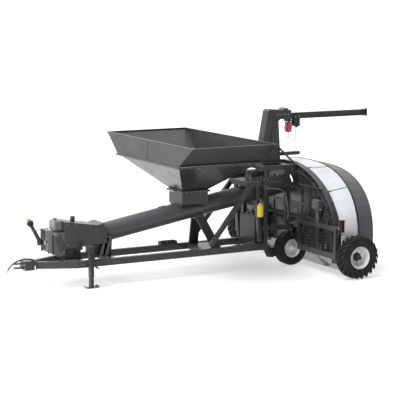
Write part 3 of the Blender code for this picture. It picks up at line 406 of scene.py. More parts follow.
def circle(steps, first=0.0):
    """Cosines and sines of angles spaced evenly round a circle; first is a share of one step."""
    for step in range(steps):
        angle = 2 * math.pi * (step + first) / steps
        yield math.cos(angle), math.sin(angle)


def bolt(mesh, place, normal, size):
    """A washer and a hexagon head standing on a surface."""
    place = Vector(place)
    normal = Vector(normal).normalized()
    rod(mesh, place - normal * 0.001, place + normal * size * 0.22, size * 1.25, sides=14)
    rod(mesh, place, place + normal * size * 0.95, size * 0.85, sides=6)


def bolt_row(mesh, start, end, count, normal, size):
    """Evenly spaced bolts from start to end."""
    start = Vector(start)
    end = Vector(end)
    for step in range(count):
        bolt(mesh, start.lerp(end, step / (count - 1)), normal, size)


def side_bolts(mesh, x, places, size):
    """Bolts at the same (y, z) places on both sides of the machine."""
    for sign in (1, -1):
        for y, z in places:
            bolt(mesh, (sign * x, y, z), (sign, 0, 0), size)


def curve_point(before, start, end, after, t):
    """A point between start and end on the smooth curve through four points."""
    slope = (end - before) * t
    bend = (2 * before - 5 * start + 4 * end - after) * t * t
    twist = (3 * start - before - 3 * end + after) * t ** 3
    return 0.5 * (2 * start + slope + bend + twist)


def smooth_route(route, spacing):
    """Evenly spaced points on the smooth curve through the route's own points."""
    places = [Vector(place) for place in route]
    places = [places[0] * 2 - places[1]] + places + [places[-1] * 2 - places[-2]]
    fine = []
    for four in zip(places, places[1:], places[2:], places[3:]):
        fine += [curve_point(*four, step / 8) for step in range(8)]
    kept = [fine[0]]
    for place in fine[1:]:
        if (place - kept[-1]).length >= spacing:
            kept.append(place)
    return kept + [places[-2]]


def pipe(name, route, radius, surface=HOSE, spacing=0.03):
    """A bent pipe or hose along a smooth route."""
    data = bpy.data.curves.new(name, "CURVE")
    data.dimensions = "3D"
    data.bevel_depth = radius
    data.bevel_resolution = 3
    data.use_fill_caps = True
    points = smooth_route(route, spacing)
    spline = data.splines.new("POLY")
    spline.points.add(len(points) - 1)
    for point, place in zip(spline.points, points):
        point.co = (*place, 1)
    spline.use_smooth = True
    data.materials.append(surface)
    made = show(name, data)
    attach(made, HULL)
    return made


# Free hose and hand chain --------------------------------

HOSE_ROUTE = [(0.110, -4.150, 0.640), (0.110, -4.190, 0.655), (0.111, -4.240, 0.668), (0.112, -4.300, 0.674),
              (0.113, -4.360, 0.670), (0.114, -4.420, 0.658), (0.115, -4.480, 0.640), (0.115, -4.540, 0.614),
              (0.114, -4.595, 0.580), (0.113, -4.640, 0.540), (0.112, -4.675, 0.500), (0.110, -4.700, 0.462)]
HOSE_RADIUS = 0.016
HOSE_SPACING = 0.016
HAND_CHAIN = [(0.035, 2.56, 3.1997), (0.036, 2.56, 3.00), (0.036, 2.56, 2.80), (0.034, 2.56, 2.71),
              (0.022, 2.56, 2.66), (0.0, 2.56, 2.64), (-0.022, 2.56, 2.66), (-0.034, 2.56, 2.71),
              (-0.036, 2.56, 2.80), (-0.036, 2.56, 3.00), (-0.035, 2.56, 3.1997)]
LINK_PITCH = 0.024
LINK_LENGTH = LINK_PITCH * 1.42
WIRE_RADIUS = 0.0026
LINK_WIDTH = WIRE_RADIUS * 5.2


def path_length(points):
    return sum((Vector(b) - Vector(a)).length for a, b in zip(points, points[1:]))


def free_hose():
    hose = pipe("supply_hose", HOSE_ROUTE, HOSE_RADIUS, spacing=HOSE_SPACING)
    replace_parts(hose, "hydraulic_hose")
    length = path_length(smooth_route(HOSE_ROUTE, HOSE_SPACING))


def chain_link(mesh, centre, along, side):
    """One oval link, with its length along one direction and its width along the other."""
    normal = along.cross(side)
    straight = (LINK_LENGTH - LINK_WIDTH) / 2
    rows = []
    for cos, sin in circle(14):
        outward = along * sin + side * cos
        spot = centre + outward * (LINK_WIDTH / 2) + along * (straight if sin >= 0 else -straight)
        rows.append([mesh.verts.new(spot + (outward * c + normal * s) * WIRE_RADIUS) for c, s in circle(7)])
    skin(mesh, rows, ring=True)


def hand_chain():
    chain = bmesh.new()
    across = Vector((0, 1, 0))
    points = smooth_route(HAND_CHAIN, LINK_PITCH)
    for index, (start, end) in enumerate(zip(points, points[1:])):
        along = (end - start).normalized()
        level = across if index % 2 else along.cross(across)
        side = (level - along * along.dot(level)).normalized()
        chain_link(chain, (start + end) / 2, along, side)
    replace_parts(hardware("hand_chain_links", chain, "trolley"), "hand_chain")


free_hose()
hand_chain()


# Wheels --------------------------------------------------

# Each station along a tread bar: share of the half width, share of the sweep, share of the radius.
LUG_STATIONS = ((-0.06, 0.0, 1.0), (0.30, 0.30, 1.0), (0.66, 0.62, 0.997), (0.90, 0.86, 0.982),
                (1.0, 0.99, 0.93))
LUG_PAIRS = 21
LUG_SWEEP = -0.34
LUG_WIDTH = 0.052
AXLE_RADIUS = 0.0375


def tyre_profile(radius, rim, half):
    """Bead, bulging side wall, round shoulder and a slightly crowned tread."""
    wall = radius - rim
    outer = [(rim + 0.0003, half * 0.84), (rim + 0.022, half * 0.93), (rim + wall * 0.30, half * 0.985),
             (rim + wall * 0.52, half * 0.995), (rim + wall * 0.74, half * 0.965),
             (radius - 0.030, half * 0.91), (radius - 0.010, half * 0.80), (radius - 0.002, half * 0.60),
             (radius, half * 0.25)]
    return outer + [(r, -h) for r, h in outer[::-1]]


def rim_profile(rim, half, dish):
    """Flanges, drop well and a dished disc with a raised rib round its bore."""
    well = rim - 0.035
    bore = 0.0365
    return [(rim, half * 0.86), (rim - 0.002, half * 0.74), (well + 0.006, half * 0.60),
            (well, half * 0.45), (well, -half * 0.58), (rim - 0.002, -half * 0.76),
            (rim, -half * 0.86), (rim - 0.012, -half * 0.86), (well - 0.010, -half * 0.60),
            (well - 0.010, dish - 0.012), (0.105, dish + 0.012), (0.090, dish - 0.02), (bore, dish - 0.02),
            (bore, dish + 0.010), (0.085, dish + 0.014), (0.108, dish + 0.030), (0.140, dish + 0.018),
            (well - 0.030, dish + 0.004), (well - 0.010, dish + 0.016), (well - 0.010, half * 0.52),
            (rim - 0.012, half * 0.84)]


class Wheel:
    """The tyre, rim, hub and valve of one wheel, measured from its CAD solids."""

    def __init__(self, name, sign, lugged):
        low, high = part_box(f"{name}_tyre")
        rim_low, rim_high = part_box(f"{name}_rim")
        self.name = name
        self.sign = sign
        self.lugged = lugged
        self.centre = (low + high) / 2
        self.radius = (high.z - low.z) / 2
        self.half = (high.x - low.x) / 2
        self.rim = (rim_high.z - rim_low.z) / 2
        self.dish = self.half * (-0.25 if lugged else 0.20)

    def at(self, offset, back=0.0, up=0.0):
        """A point measured from the wheel's centre; offset grows towards the outside."""
        return self.centre + Vector((self.sign * offset, back, up))

    def turned(self, mesh, profile, steps):
        """Turns a closed (radius, offset) profile about the axle."""
        rows = [[mesh.verts.new(self.at(offset, radius * cos, radius * sin)) for radius, offset in profile]
                for cos, sin in circle(steps)]
        skin(mesh, rows, ring=True)

    def lug(self, mesh, base, angle, side):
        """One tread bar, from the middle of the tread over the shoulder, swept round as it goes out."""
        rows = []
        for offset, turn, drop in LUG_STATIONS:
            top = self.radius * drop
            low = min(base - 0.004, top - 0.02)
            row = []
            for reach, lean in ((low, 0.62), (top, 0.40), (top, -0.40), (low, -0.62)):
                turned = angle + LUG_SWEEP * turn + LUG_WIDTH * lean / self.radius
                spot = self.at(side * offset * self.half, reach * math.cos(turned), reach * math.sin(turned))
                row.append(mesh.verts.new(spot))
            rows.append(row)
        skin(mesh, rows)

    def lugs(self, mesh, base):
        for index in range(LUG_PAIRS):
            angle = 2 * math.pi * index / LUG_PAIRS
            self.lug(mesh, base, angle, 1)
            self.lug(mesh, base, angle + math.pi / LUG_PAIRS, -1)

    def ribs(self, mesh, base):
        wide = self.half * 0.115
        for share in (-0.62, -0.31, 0.0, 0.31, 0.62):
            middle = share * self.half
            self.turned(mesh, [(base - 0.003, middle - wide), (self.radius, middle - wide * 0.8),
                               (self.radius, middle + wide * 0.8), (base - 0.003, middle + wide)], 96)

    def make_tyre(self):
        tyre = bmesh.new()
        base = self.radius - (0.040 if self.lugged else 0.008)
        self.turned(tyre, tyre_profile(base, self.rim, self.half * 0.99), 96)
        tread = self.lugs if self.lugged else self.ribs
        tread(tyre, base)
        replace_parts(piece(f"{self.name}_tyre_tread", tyre, "rubber", self.name, 0), f"{self.name}_tyre")

    def make_rim(self):
        rim = bmesh.new()
        self.turned(rim, rim_profile(self.rim, self.half, self.dish), 72)
        made = piece(f"{self.name}_rim_disc", rim, "white_panel", self.name, 0, RIM_WHITE)
        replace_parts(made, f"{self.name}_rim")

    def make_hub(self):
        """Flange, cap and wheel bolts, and on a main wheel a longer nose."""
        hub = bmesh.new()
        face = self.dish + 0.02
        flange = 0.100 if self.lugged else 0.078
        self.turned(hub, [(AXLE_RADIUS, face - 0.03), (flange, face - 0.02), (flange, face + 0.012),
                          (0.066, face + 0.02), (0.058, face + 0.062), (0.040, face + 0.078),
                          (AXLE_RADIUS, face + 0.078)], 32)
        rod(hub, self.at(face + 0.066), self.at(face + 0.083), 0.039)
        if self.lugged:
            self.turned(hub, [(AXLE_RADIUS, face + 0.05), (0.046, face + 0.05), (0.046, 0.122),
                              (AXLE_RADIUS, 0.122)], 32)
            rod(hub, self.at(0.114), self.at(0.124), 0.044)
        ring = flange + 0.030
        for cos, sin in circle(6, 0.5):
            bolt(hub, self.at(face - 0.002, ring * cos, ring * sin), (self.sign, 0, 0), 0.013)
        surface = FINISH["black_paint"] if self.lugged else RIM_WHITE
        piece(f"{self.name}_hub", hub, "charcoal_paint", self.name, 0.001, surface)

    def make_valve(self):
        valve = bmesh.new()
        foot = self.half * 0.30
        tip = foot + 0.045
        rod(valve, self.at(foot, 0, self.rim - 0.055), self.at(tip, 0, self.rim - 0.067), 0.0045, sides=10)
        hardware(f"{self.name}_valve_stem", valve, self.name)


for wheel in (Wheel("wheel_left", 1, True), Wheel("wheel_right", -1, True), Wheel("gauge_wheel", 1, False)):
    wheel.make_tyre()
    wheel.make_rim()
    wheel.make_hub()
    wheel.make_valve()


# Hopper --------------------------------------------------

CHUTE_WALL = 0.322


def hopper_seams():
    """The cover strip up the middle of the front and rear panels."""
    rim_low, rim_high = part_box("hopper_rim")
    funnel_low, funnel_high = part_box("hopper_funnel")
    seams = bmesh.new()
    for rim_y, funnel_y, outward in ((rim_low.y, funnel_low.y, -1), (rim_high.y, funnel_high.y, 1)):
        foot = (0, funnel_y - outward * 0.027, funnel_high.z + 0.01)
        top = (0, rim_y - outward * 0.007, rim_low.z - 0.005)
        strip(seams, foot, top, 0.030, 0.006, (0, outward, -0.3))
    piece("hopper_seam_strips", seams, "charcoal_paint")


def hopper_bolts():
    """Bolts under the funnel's lip and along the chute's flange."""
    low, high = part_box("hopper_funnel")
    bolts = bmesh.new()
    x = high.x - 0.022
    z = high.z - 0.035
    for y in (low.y + 0.018, high.y - 0.018):
        bolt_row(bolts, (-x, y, z), (x, y, z), 17, (0, 0, -1), 0.010)
    for side in (-x, x):
        bolt_row(bolts, (side, low.y + 0.1, z), (side, high.y - 0.1, z), 10, (0, 0, -1), 0.010)
    low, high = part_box("hopper_chute")
    z = high.z - 0.012
    for sign in (1, -1):
        x = sign * high.x
        bolt_row(bolts, (x, low.y + 0.03, z), (x, high.y - 0.03, z), 7, (sign, 0, 0), 0.009)
    hardware("hopper_bolts", bolts)


def chute_stiffeners():
    low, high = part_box("hopper_chute")
    bars = bmesh.new()
    for sign in (1, -1):
        for y in (low.y + 0.07, (low.y + high.y) / 2, high.y - 0.07):
            block(bars, (sign * (CHUTE_WALL - 0.001), y - 0.012, 1.68),
                  (sign * (CHUTE_WALL + 0.004), y + 0.012, high.z - 0.03))
    piece("chute_stiffeners", bars, "charcoal_paint")


hopper_seams()
hopper_bolts()
chute_stiffeners()


# Auger ---------------------------------------------------

SLOPE = math.radians(9.57)
AXIS_Y = -2.93
AXIS_Z = 1.00
TUBE_R = 0.212
FLANGE_Y = -2.475
AUGER_DIR = Vector((0, math.cos(SLOPE), math.sin(SLOPE)))
AUGER_UP = Vector((0, -math.sin(SLOPE), math.cos(SLOPE)))
ACROSS = Vector((1, 0, 0))


def tube_centre(y):
    """The point on the auger's axis at y."""
    return Vector((0, y, AXIS_Z + (y - AXIS_Y) * math.tan(SLOPE)))


def auger_flange_bolts():
    bolts = bmesh.new()
    centre = tube_centre(FLANGE_Y) + AUGER_DIR * 0.020
    for cos, sin in circle(16, 0.5):
        bolt(bolts, centre + (AUGER_UP * cos + ACROSS * sin) * 0.240, AUGER_DIR, 0.011)
    hardware("auger_flange_bolts", bolts)


def auger_latch():
    """A plate with two handled pins, a little to the left of the tube's top."""
    turn = 0.25
    out = AUGER_UP * math.cos(turn) + ACROSS * math.sin(turn)
    latch = bmesh.new()
    for y in (-1.02, -0.94):
        place = tube_centre(y) + out * TUBE_R
        rod(latch, place - out * 0.004, place + out * 0.045, 0.012, sides=12)
        grip = place + out * 0.035
        rod(latch, grip - AUGER_DIR * 0.05, grip + AUGER_DIR * 0.05, 0.008, sides=10)
    place = tube_centre(-0.98) + out * (TUBE_R + 0.002)
    strip(latch, place - AUGER_DIR * 0.13, place + AUGER_DIR * 0.13, 0.07, 0.008, out)
    piece("auger_latch", latch, "light_grey_paint")


auger_flange_bolts()
auger_latch()


# Drive end -----------------------------------------------

DRIVE_BOLTS = ((-3.39, 1.36), (-3.39, 0.92), (-3.20, 1.33), (-2.86, 1.26), (-2.72, 1.20), (-3.22, 0.90),
               (-2.66, 0.98))
PTO_FOOT = Vector((0, -3.90, 0.97))
PTO_HEAD = Vector((0, -4.14, 1.43))
PTO_DIR = (PTO_HEAD - PTO_FOOT).normalized()


def drive_side_bolts():
    bolts = bmesh.new()
    side_bolts(bolts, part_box("drive_housing")[1].x, DRIVE_BOLTS, 0.009)
    hardware("drive_side_bolts", bolts)


def drive_front_plate():
    """The box under the housing's front, with a round boss on each side."""
    plates = bmesh.new()
    block(plates, (-0.22, -3.43, 0.592), (0.22, -3.20, 0.842))
    for sign in (1, -1):
        rod(plates, (sign * 0.215, -3.33, 0.72), (sign * 0.245, -3.33, 0.72), 0.085, sides=32)
        rod(plates, (sign * 0.240, -3.33, 0.72), (sign * 0.255, -3.33, 0.72), 0.030, sides=20)
    piece("drive_front_plate", plates, "black_paint")


def auger_bracket_gussets():
    gussets = bmesh.new()
    for sign in (1, -1):
        for start, end in (((-2.58, 0.60), (-2.44, 1.02)), ((-2.50, 0.60), (-2.41, 1.04))):
            strip(gussets, (sign * 0.262, *start), (sign * 0.262, *end), 0.12, 0.012, (1, 0, 0))
        block(gussets, (sign * 0.20, -2.62, 0.578), (sign * 0.32, -2.44, 0.600))
    piece("auger_bracket_gussets", gussets, "charcoal_paint", surface=MID_GREY)


def guard_louvres():
    """Slanted black strips on the guard's sides, painted shade for the hollows of its louvre slots, each one
    lower and further back than the last.
    """
    low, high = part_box("drive_guard")
    louvres = bmesh.new()
    for sign in (1, -1):
        x = sign * high.x
        for index in range(6):
            front = low.y + 0.040 + index * 0.019
            rear = min(front + 0.145, high.y - 0.006)
            z = high.z - 0.125 - index * 0.056
            # Painted shade: each black strip stands in for the shaded hollow of a louvre slot.
            strip(louvres, (x, front, z), (x, rear, z + 0.085), 0.032, 0.006, (1, 0, 0))
    piece("guard_louvre_slot_shade", louvres, "black_paint", edge=0.001, surface=DEEP_BLACK)


def drive_boot():
    """The ribbed rubber boot between the housing and the frame."""
    boot = bmesh.new()
    for index in range(6):
        z = 0.62 + index * 0.040
        block(boot, (-0.20, -2.77, z), (0.20, -2.47, z + 0.026))
    block(boot, (-0.192, -2.762, 0.615), (0.192, -2.478, 0.875))
    piece("drive_boot", boot, "rubber", edge=0.004, surface=DEEP_BLACK)


def pump_fins():
    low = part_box("hydraulic_pump")[0]
    fins = bmesh.new()
    for index in range(6):
        y = low.y + 0.025 + index * 0.03
        block(fins, (-0.155, y, low.z + 0.03), (0.155, y + 0.008, low.z + 0.19))
    for x in (-0.09, 0.09):
        bolt(fins, (x, low.y + 0.1, low.z + 0.205), (0, 0, 1), 0.012)
    piece("pump_fins", fins, "light_grey_paint", edge=0.001)


def pto_bellows(name, body, start, step):
    """Four rings on a flared end of the PTO shaft, each smaller than the last."""
    rings = bmesh.new()
    for index in range(4):
        place = start + step * index
        rod(rings, place, place + PTO_DIR * 0.006, 0.079 - index * 0.004, sides=28)
    piece(name, rings, "black_paint", body, surface=DEEP_BLACK)


def pto_sleeve(name, body, start, end, radius):
    sleeve = bmesh.new()
    rod(sleeve, start, end, radius, sides=24)
    piece(name, sleeve, "black_paint", body, 0.001, DEEP_BLACK)


def pto_details():
    collar = bmesh.new()
    rod(collar, PTO_HEAD + PTO_DIR * 0.052, PTO_HEAD + PTO_DIR * 0.072, 0.047, sides=28)
    piece("pto_yellow_collar", collar, "yellow_paint", "pto_inner")
    step = PTO_DIR * 0.018
    pto_bellows("pto_inner_bellows", "pto_inner", PTO_HEAD - PTO_DIR * 0.005, -step)
    pto_bellows("pto_outer_bellows", "pto_outer", PTO_FOOT, step)
    middle = PTO_FOOT + PTO_DIR * 0.340
    gap = PTO_DIR * 0.002
    pto_sleeve("pto_outer_sleeve", "pto_outer", PTO_FOOT + PTO_DIR * 0.085, middle - gap, 0.042)
    pto_sleeve("pto_inner_sleeve", "pto_inner", middle + gap, PTO_HEAD - PTO_DIR * 0.085, 0.038)
    keeper = bmesh.new()
    bend = (0.09, -3.84, 1.288)
    rod(keeper, (0.09, -3.64, 1.300), bend, 0.008, sides=10)
    rod(keeper, bend, (0.09, -4.17, 1.268), 0.008, sides=10)
    hardware("pto_keeper_rod", keeper)


drive_side_bolts()
drive_front_plate()
auger_bracket_gussets()
guard_louvres()
drive_boot()
pump_fins()
pto_details()


# Drawbar -------------------------------------------------

def rail_pipes():
    """Two thin pipes inside the left rail, and their clips."""
    for index, x in enumerate((0.385, 0.355)):
        route = [(x, -2.20, 0.56), (x, -1.4, 0.565), (x, -0.6, 0.565), (x, -0.10, 0.560)]
        pipe(f"rail_pipe_{index}", route, 0.009, FINISH["light_grey_paint"], 0.1)
    clips = bmesh.new()
    for index in range(7):
        y = -2.10 + index * 0.33
        block(clips, (0.335, y, 0.535), (0.4205, y + 0.03, 0.578))
    piece("rail_pipe_clips", clips, "black_paint")


def drawbar_bolts():
    bolts = bmesh.new()
    for sign in (1, -1):
        x = sign * 0.52
        for y in (-3.11, -2.36, 0.08):
            bolt_row(bolts, (x, y - 0.05, 0.515), (x, y + 0.05, 0.515), 3, (sign, 0, 0), 0.008)
    for x in (-0.12, 0.12):
        bolt_row(bolts, (x, -4.27, 0.62), (x, -4.11, 0.62), 2, (0, 0, 1), 0.014)
    hardware("drawbar_bolts", bolts)


def rail_tray():
    """An open tray on the right rail: floor, four walls and a divider."""
    tray = bmesh.new()
    block(tray, (-0.56, -0.80, 0.592), (-0.38, -0.39, 0.605))
    for start, end in (((-0.56, -0.80), (-0.55, -0.39)), ((-0.39, -0.80), (-0.38, -0.39)),
                       ((-0.56, -0.80), (-0.38, -0.79)), ((-0.56, -0.40), (-0.38, -0.39))):
        block(tray, (*start, 0.60), (*end, 0.665))
    block(tray, (-0.54, -0.60, 0.60), (-0.40, -0.58, 0.65))
    piece("rail_tray", tray, "black_paint")


def hitch_clip():
    clip = bmesh.new()
    rod(clip, (0.164, -4.100, 0.50), (0.190, -4.100, 0.50), 0.012, sides=12)
    rod(clip, (0.183, -4.100, 0.515), (0.183, -4.105, 0.405), 0.012, sides=12)
    rod(clip, (0.183, -4.105, 0.410), (0.183, -4.100, 0.385), 0.022, sides=14)
    piece("hitch_clip", clip, "white_panel", edge=0, surface=PALE)


def jack_fittings():
    """Cap, mounting plate and gear cover of the parking jack."""
    low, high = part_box("jack_tube")
    x = (low.x + high.x) / 2
    y = (low.y + high.y) / 2
    cap = bmesh.new()
    block(cap, (x - 0.056, y - 0.056, high.z - 0.02), (x + 0.056, y + 0.056, high.z + 0.012))
    block(cap, (low.x - 0.001, y - 0.105, 0.44), (low.x + 0.012, y + 0.105, 0.60))
    rod(cap, (high.x - 0.002, y, 0.80), (high.x + 0.010, y, 0.80), 0.036, sides=24)
    piece("jack_fittings", cap, "charcoal_paint")


rail_pipes()
drawbar_bolts()
rail_tray()
hitch_clip()
jack_fittings()


# Rear frame ----------------------------------------------

FRAME_SIDE = 0.524
FRAME_JOINTS = ((1.43, 1.91), (1.43, 2.07), (2.03, 1.91), (1.43, 0.93), (2.03, 0.93), (2.03, 1.10))
CROSSBEAM_END = (1.16, 2.04)
DECK_FRONT = 1.03
DECK_REAR = 1.37
DECK_TOP = 2.012
DECK_HALF = 0.415


def frame_joints():
    """Gusset plates and pairs of bolts where the side frames' members meet."""
    gussets = bmesh.new()
    for sign in (1, -1):
        for y, z in FRAME_JOINTS:
            block(gussets, (sign * FRAME_SIDE, y - 0.075, z - 0.065),
                  (sign * (FRAME_SIDE - 0.012), y + 0.075, z + 0.065))
    piece("frame_gussets", gussets, "charcoal_paint")
    bolts = bmesh.new()
    places = [(y + dy, z) for y, z in (*FRAME_JOINTS, CROSSBEAM_END) for dy in (-0.05, 0.05)]
    side_bolts(bolts, FRAME_SIDE, places, 0.012)
    hardware("frame_bolts", bolts)


def step_boards():
    """The step's ribbed deck, and the dark boards in front of it and behind it."""
    deck = bmesh.new()
    block(deck, (-DECK_HALF, DECK_FRONT, DECK_TOP - 0.012), (DECK_HALF, DECK_REAR, DECK_TOP))
    front = DECK_FRONT + 0.03
    rear = DECK_REAR - 0.03
    for index in range(14):
        x = -0.38 + index * 0.058
        block(deck, (x, front, DECK_TOP - 0.001), (x + 0.012, rear, DECK_TOP + 0.005))
    piece("step_deck", deck, "light_grey_paint", edge=0.001, surface=RIM_WHITE)
    boards = bmesh.new()
    half = DECK_HALF + 0.002
    block(boards, (-half, DECK_FRONT - 0.010, 1.895), (half, DECK_FRONT, DECK_TOP + 0.002))
    block(boards, (-half, DECK_REAR, 1.97), (half, DECK_REAR + 0.008, DECK_TOP + 0.03))
    piece("step_fascia", boards, "black_paint", edge=0.001, surface=DEEP_BLACK)


def battery_box():
    """Case, lid and latch."""
    battery = bmesh.new()
    block(battery, (0.10, 1.12, 2.018), (0.38, 1.36, 2.25))
    block(battery, (0.085, 1.105, 2.235), (0.395, 1.375, 2.265))
    block(battery, (0.19, 1.095, 2.19), (0.29, 1.108, 2.24))
    piece("battery_box", battery, "black_paint", edge=0.006, surface=DEEP_BLACK)


def hand_rail():
    route = [(0.520, 1.44, 1.865), (0.555, 1.50, 1.865), (0.560, 1.70, 1.845), (0.560, 1.86, 1.780),
             (0.560, 1.93, 1.700), (0.560, 1.97, 1.55), (0.560, 2.00, 1.38), (0.560, 2.01, 1.21),
             (0.550, 2.01, 1.15), (0.520, 2.02, 1.10)]
    pipe("hand_rail", route, 0.013, FINISH["light_grey_paint"])


def mast_stays():
    """The mast's two struts, and the cable up its left side."""
    struts = bmesh.new()
    for sign in (1, -1):
        rod(struts, (sign * 0.13, 2.02, 2.72), (sign * 0.47, 2.25, 2.37), 0.024, sides=14)
        block(struts, (sign * 0.47 - 0.05, 2.22, 2.355), (sign * 0.47 + 0.05, 2.29, 2.385))
    piece("mast_struts", struts, "charcoal_paint")
    x = 0.126
    pipe("mast_cable", [(x, 1.72, 2.40), (x, 1.735, 2.60), (x, 1.78, 2.90), (x, 1.82, 3.15),
                        (x, 1.88, 3.35), (x, 2.00, 3.43), (x, 2.24, 3.44)], 0.005)


def tank_details():
    """The tank's lid with filler and breather, its sight glass and its hoses."""
    low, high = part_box("hydraulic_tank")
    lid = bmesh.new()
    block(lid, (low.x + 0.02, low.y + 0.02, high.z - 0.004), (high.x - 0.02, high.y - 0.02, high.z + 0.006))
    rod(lid, (-0.18, 1.37, high.z + 0.004), (-0.18, 1.37, high.z + 0.05), 0.045, sides=24)
    rod(lid, (0.05, 1.37, high.z + 0.004), (0.05, 1.37, high.z + 0.035), 0.028, sides=18)
    piece("tank_lid", lid, "light_grey_paint")
    glass = bmesh.new()
    block(glass, (high.x - 0.001, 1.31, 0.78), (high.x + 0.012, 1.345, 0.98))
    for z in (0.79, 0.97):
        bolt(glass, (high.x + 0.011, 1.3275, z), (1, 0, 0), 0.009)
    piece("tank_sight_glass", glass, "light_grey_paint", surface=PALE)
    for index, (x, drift) in enumerate(((0.18, 0.10), (0.10, 0.22), (-0.05, 0.16))):
        far = x + drift
        route = [(x, 1.42, high.z), (x, 1.44, high.z + 0.12), (x + drift * 0.3, 1.56, high.z + 0.20),
                 (x + drift * 0.8, 1.78, high.z + 0.12), (far, 1.98, high.z - 0.02),
                 (far, 2.12, high.z - 0.10), (far, 2.21, high.z - 0.11)]
        pipe(f"tank_hose_{index}", route, 0.014)
    pipe("tank_hose_low", [(0.35, 1.30, 0.72), (0.39, 1.24, 0.71), (0.40, 1.05, 0.66), (0.39, 0.80, 0.60),
                           (0.385, 0.5, 0.565), (0.385, 0.2, 0.562)], 0.013)


frame_joints()
step_boards()
battery_box()
hand_rail()
mast_stays()
tank_details()


# Tunnel --------------------------------------------------

ARCH_Z = 0.75
BAND_FRONT, BAND_REAR = (corner.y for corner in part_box("tunnel_band"))
SKIRT_FRONT, SKIRT_REAR = (corner.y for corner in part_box("tunnel_skirt"))
ARCH_A = 2.15
ARCH_B = 1.65
SEAM_ANGLES = (42, 70, 110, 138)
ARCH_STEPS = 80


def arch_point(y, angle, lift=0.0):
    """A point on the outside of the tunnel's skin, and the direction out of it; angle 90 is on top."""
    if y <= BAND_REAR:
        t = max(0.0, (y - BAND_FRONT) / (BAND_REAR - BAND_FRONT))
        half, tall, power = ARCH_A + 0.02 * t, ARCH_B + 0.01 * t, 2.0 + 0.5 * t
    else:
        t = min(1.0, (y - SKIRT_FRONT) / (SKIRT_REAR - SKIRT_FRONT))
        half, tall, power = ARCH_A + 0.005 * (1 - t), ARCH_B - 0.02 - 0.07 * t, 2.5 + 0.1 * t
    at = math.radians(angle)
    c = math.cos(at)
    s = max(math.sin(at), 0.0)
    x = math.copysign(abs(c) ** (2 / power), c) * half
    z = ARCH_Z + tall * s ** (2 / power)
    out = Vector((math.copysign(abs(x / half) ** (power - 1), x) / half, 0,
                  ((z - ARCH_Z) / tall) ** (power - 1) / tall)).normalized()
    return Vector((x, y, z)) + out * lift, out


def arch_strip(mesh, y, width, thick):
    """A flat band round the arch at one place along the machine."""
    rows = []
    for index in range(ARCH_STEPS + 1):
        place, out = arch_point(y, 1 + 178 * index / ARCH_STEPS)
        rows.append([mesh.verts.new(place + out * d + Vector((0, w, 0))) for d, w in
                     ((-0.004, -width / 2), (thick, -width / 2), (thick, width / 2), (-0.004, width / 2))])
    skin(mesh, rows)


def tunnel_seams():
    """Strips along the joints of the white band's panels."""
    seams = bmesh.new()
    front = BAND_FRONT + 0.03
    stride = (BAND_REAR - 0.012 - front) / 4
    for angle in SEAM_ANGLES:
        places = [arch_point(front + stride * index, angle, 0.001) for index in range(5)]
        for (start, _), (end, out) in zip(places, places[1:]):
            strip(seams, start, end, 0.012, 0.004, out)
    piece("tunnel_panel_seams", seams, "light_grey_paint", edge=0)


def tunnel_bands():
    """The dark seal between band and skirt, and the edge bands at the front and the rear."""
    seal = bmesh.new()
    arch_strip(seal, (BAND_REAR + SKIRT_FRONT) / 2, SKIRT_FRONT - BAND_REAR + 0.010, 0.002)
    arch_strip(seal, BAND_REAR - 0.014, 0.028, 0.006)
    piece("tunnel_gap_seal", seal, "rubber", edge=0, surface=DEEP_BLACK)
    edge_bands = bmesh.new()
    arch_strip(edge_bands, BAND_FRONT + 0.012, 0.020, 0.006)
    arch_strip(edge_bands, SKIRT_REAR - 0.012, 0.022, 0.006)
    piece("tunnel_edge_bands", edge_bands, "grey_panel", edge=0.001)


def tunnel_latches():
    latches = bmesh.new()
    back = Vector((0, 1, 0))
    for angle in SEAM_ANGLES:
        place, out = arch_point(BAND_FRONT + 0.055, angle, 0.004)
        strip(latches, place - back * 0.04, place + back * 0.04, 0.03, 0.012, out)
        rod(latches, place - back * 0.055 + out * 0.008, place + back * 0.03 + out * 0.012, 0.006, sides=10)
    hardware("tunnel_latches", latches, edge=0.001)


def ring_details():
    """Ribs round both edges of the tunnel's ring, and a row of bolts between them."""
    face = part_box("tunnel_ring")[0].y
    wide = 0.018
    ribs = bmesh.new()
    for half, tall in ((2.155, 1.655), (2.015, 1.515)):
        rows = []
        for index in range(ARCH_STEPS + 1):
            at = math.pi * index / ARCH_STEPS
            c = math.cos(at)
            s = math.sin(at)
            rows.append([ribs.verts.new((c * (half + r), face + d, ARCH_Z + s * (tall + r)))
                         for r, d in ((0, -0.045), (wide, -0.045), (wide, 0.004), (0, 0.004))])
        skin(ribs, rows)
    piece("ring_ribs", ribs, "charcoal_paint", edge=0.001)
    bolts = bmesh.new()
    for index in range(33):
        at = math.radians(6 + 168 * index / 32)
        bolt(bolts, (2.088 * math.cos(at), face, ARCH_Z + 1.588 * math.sin(at)), (0, -1, 0), 0.013)
    hardware("ring_bolts", bolts)


def strap(name, start, end):
    """A stretched rubber strap with a hook at each end."""
    start = Vector(start)
    end = Vector(end)
    band = bmesh.new()
    rod(band, start.lerp(end, 0.08), start.lerp(end, 0.92), 0.009, sides=12)
    piece(f"{name}_rubber", band, "rubber", edge=0)
    hooks = bmesh.new()
    half = Vector((0, 0.012, 0))
    for tip, share in ((start, 0.10), (end, 0.90)):
        rod(hooks, tip, start.lerp(end, share), 0.005, sides=10)
        rod(hooks, tip - half, tip + half, 0.009, sides=12)
    hardware(f"{name}_hooks", hooks)


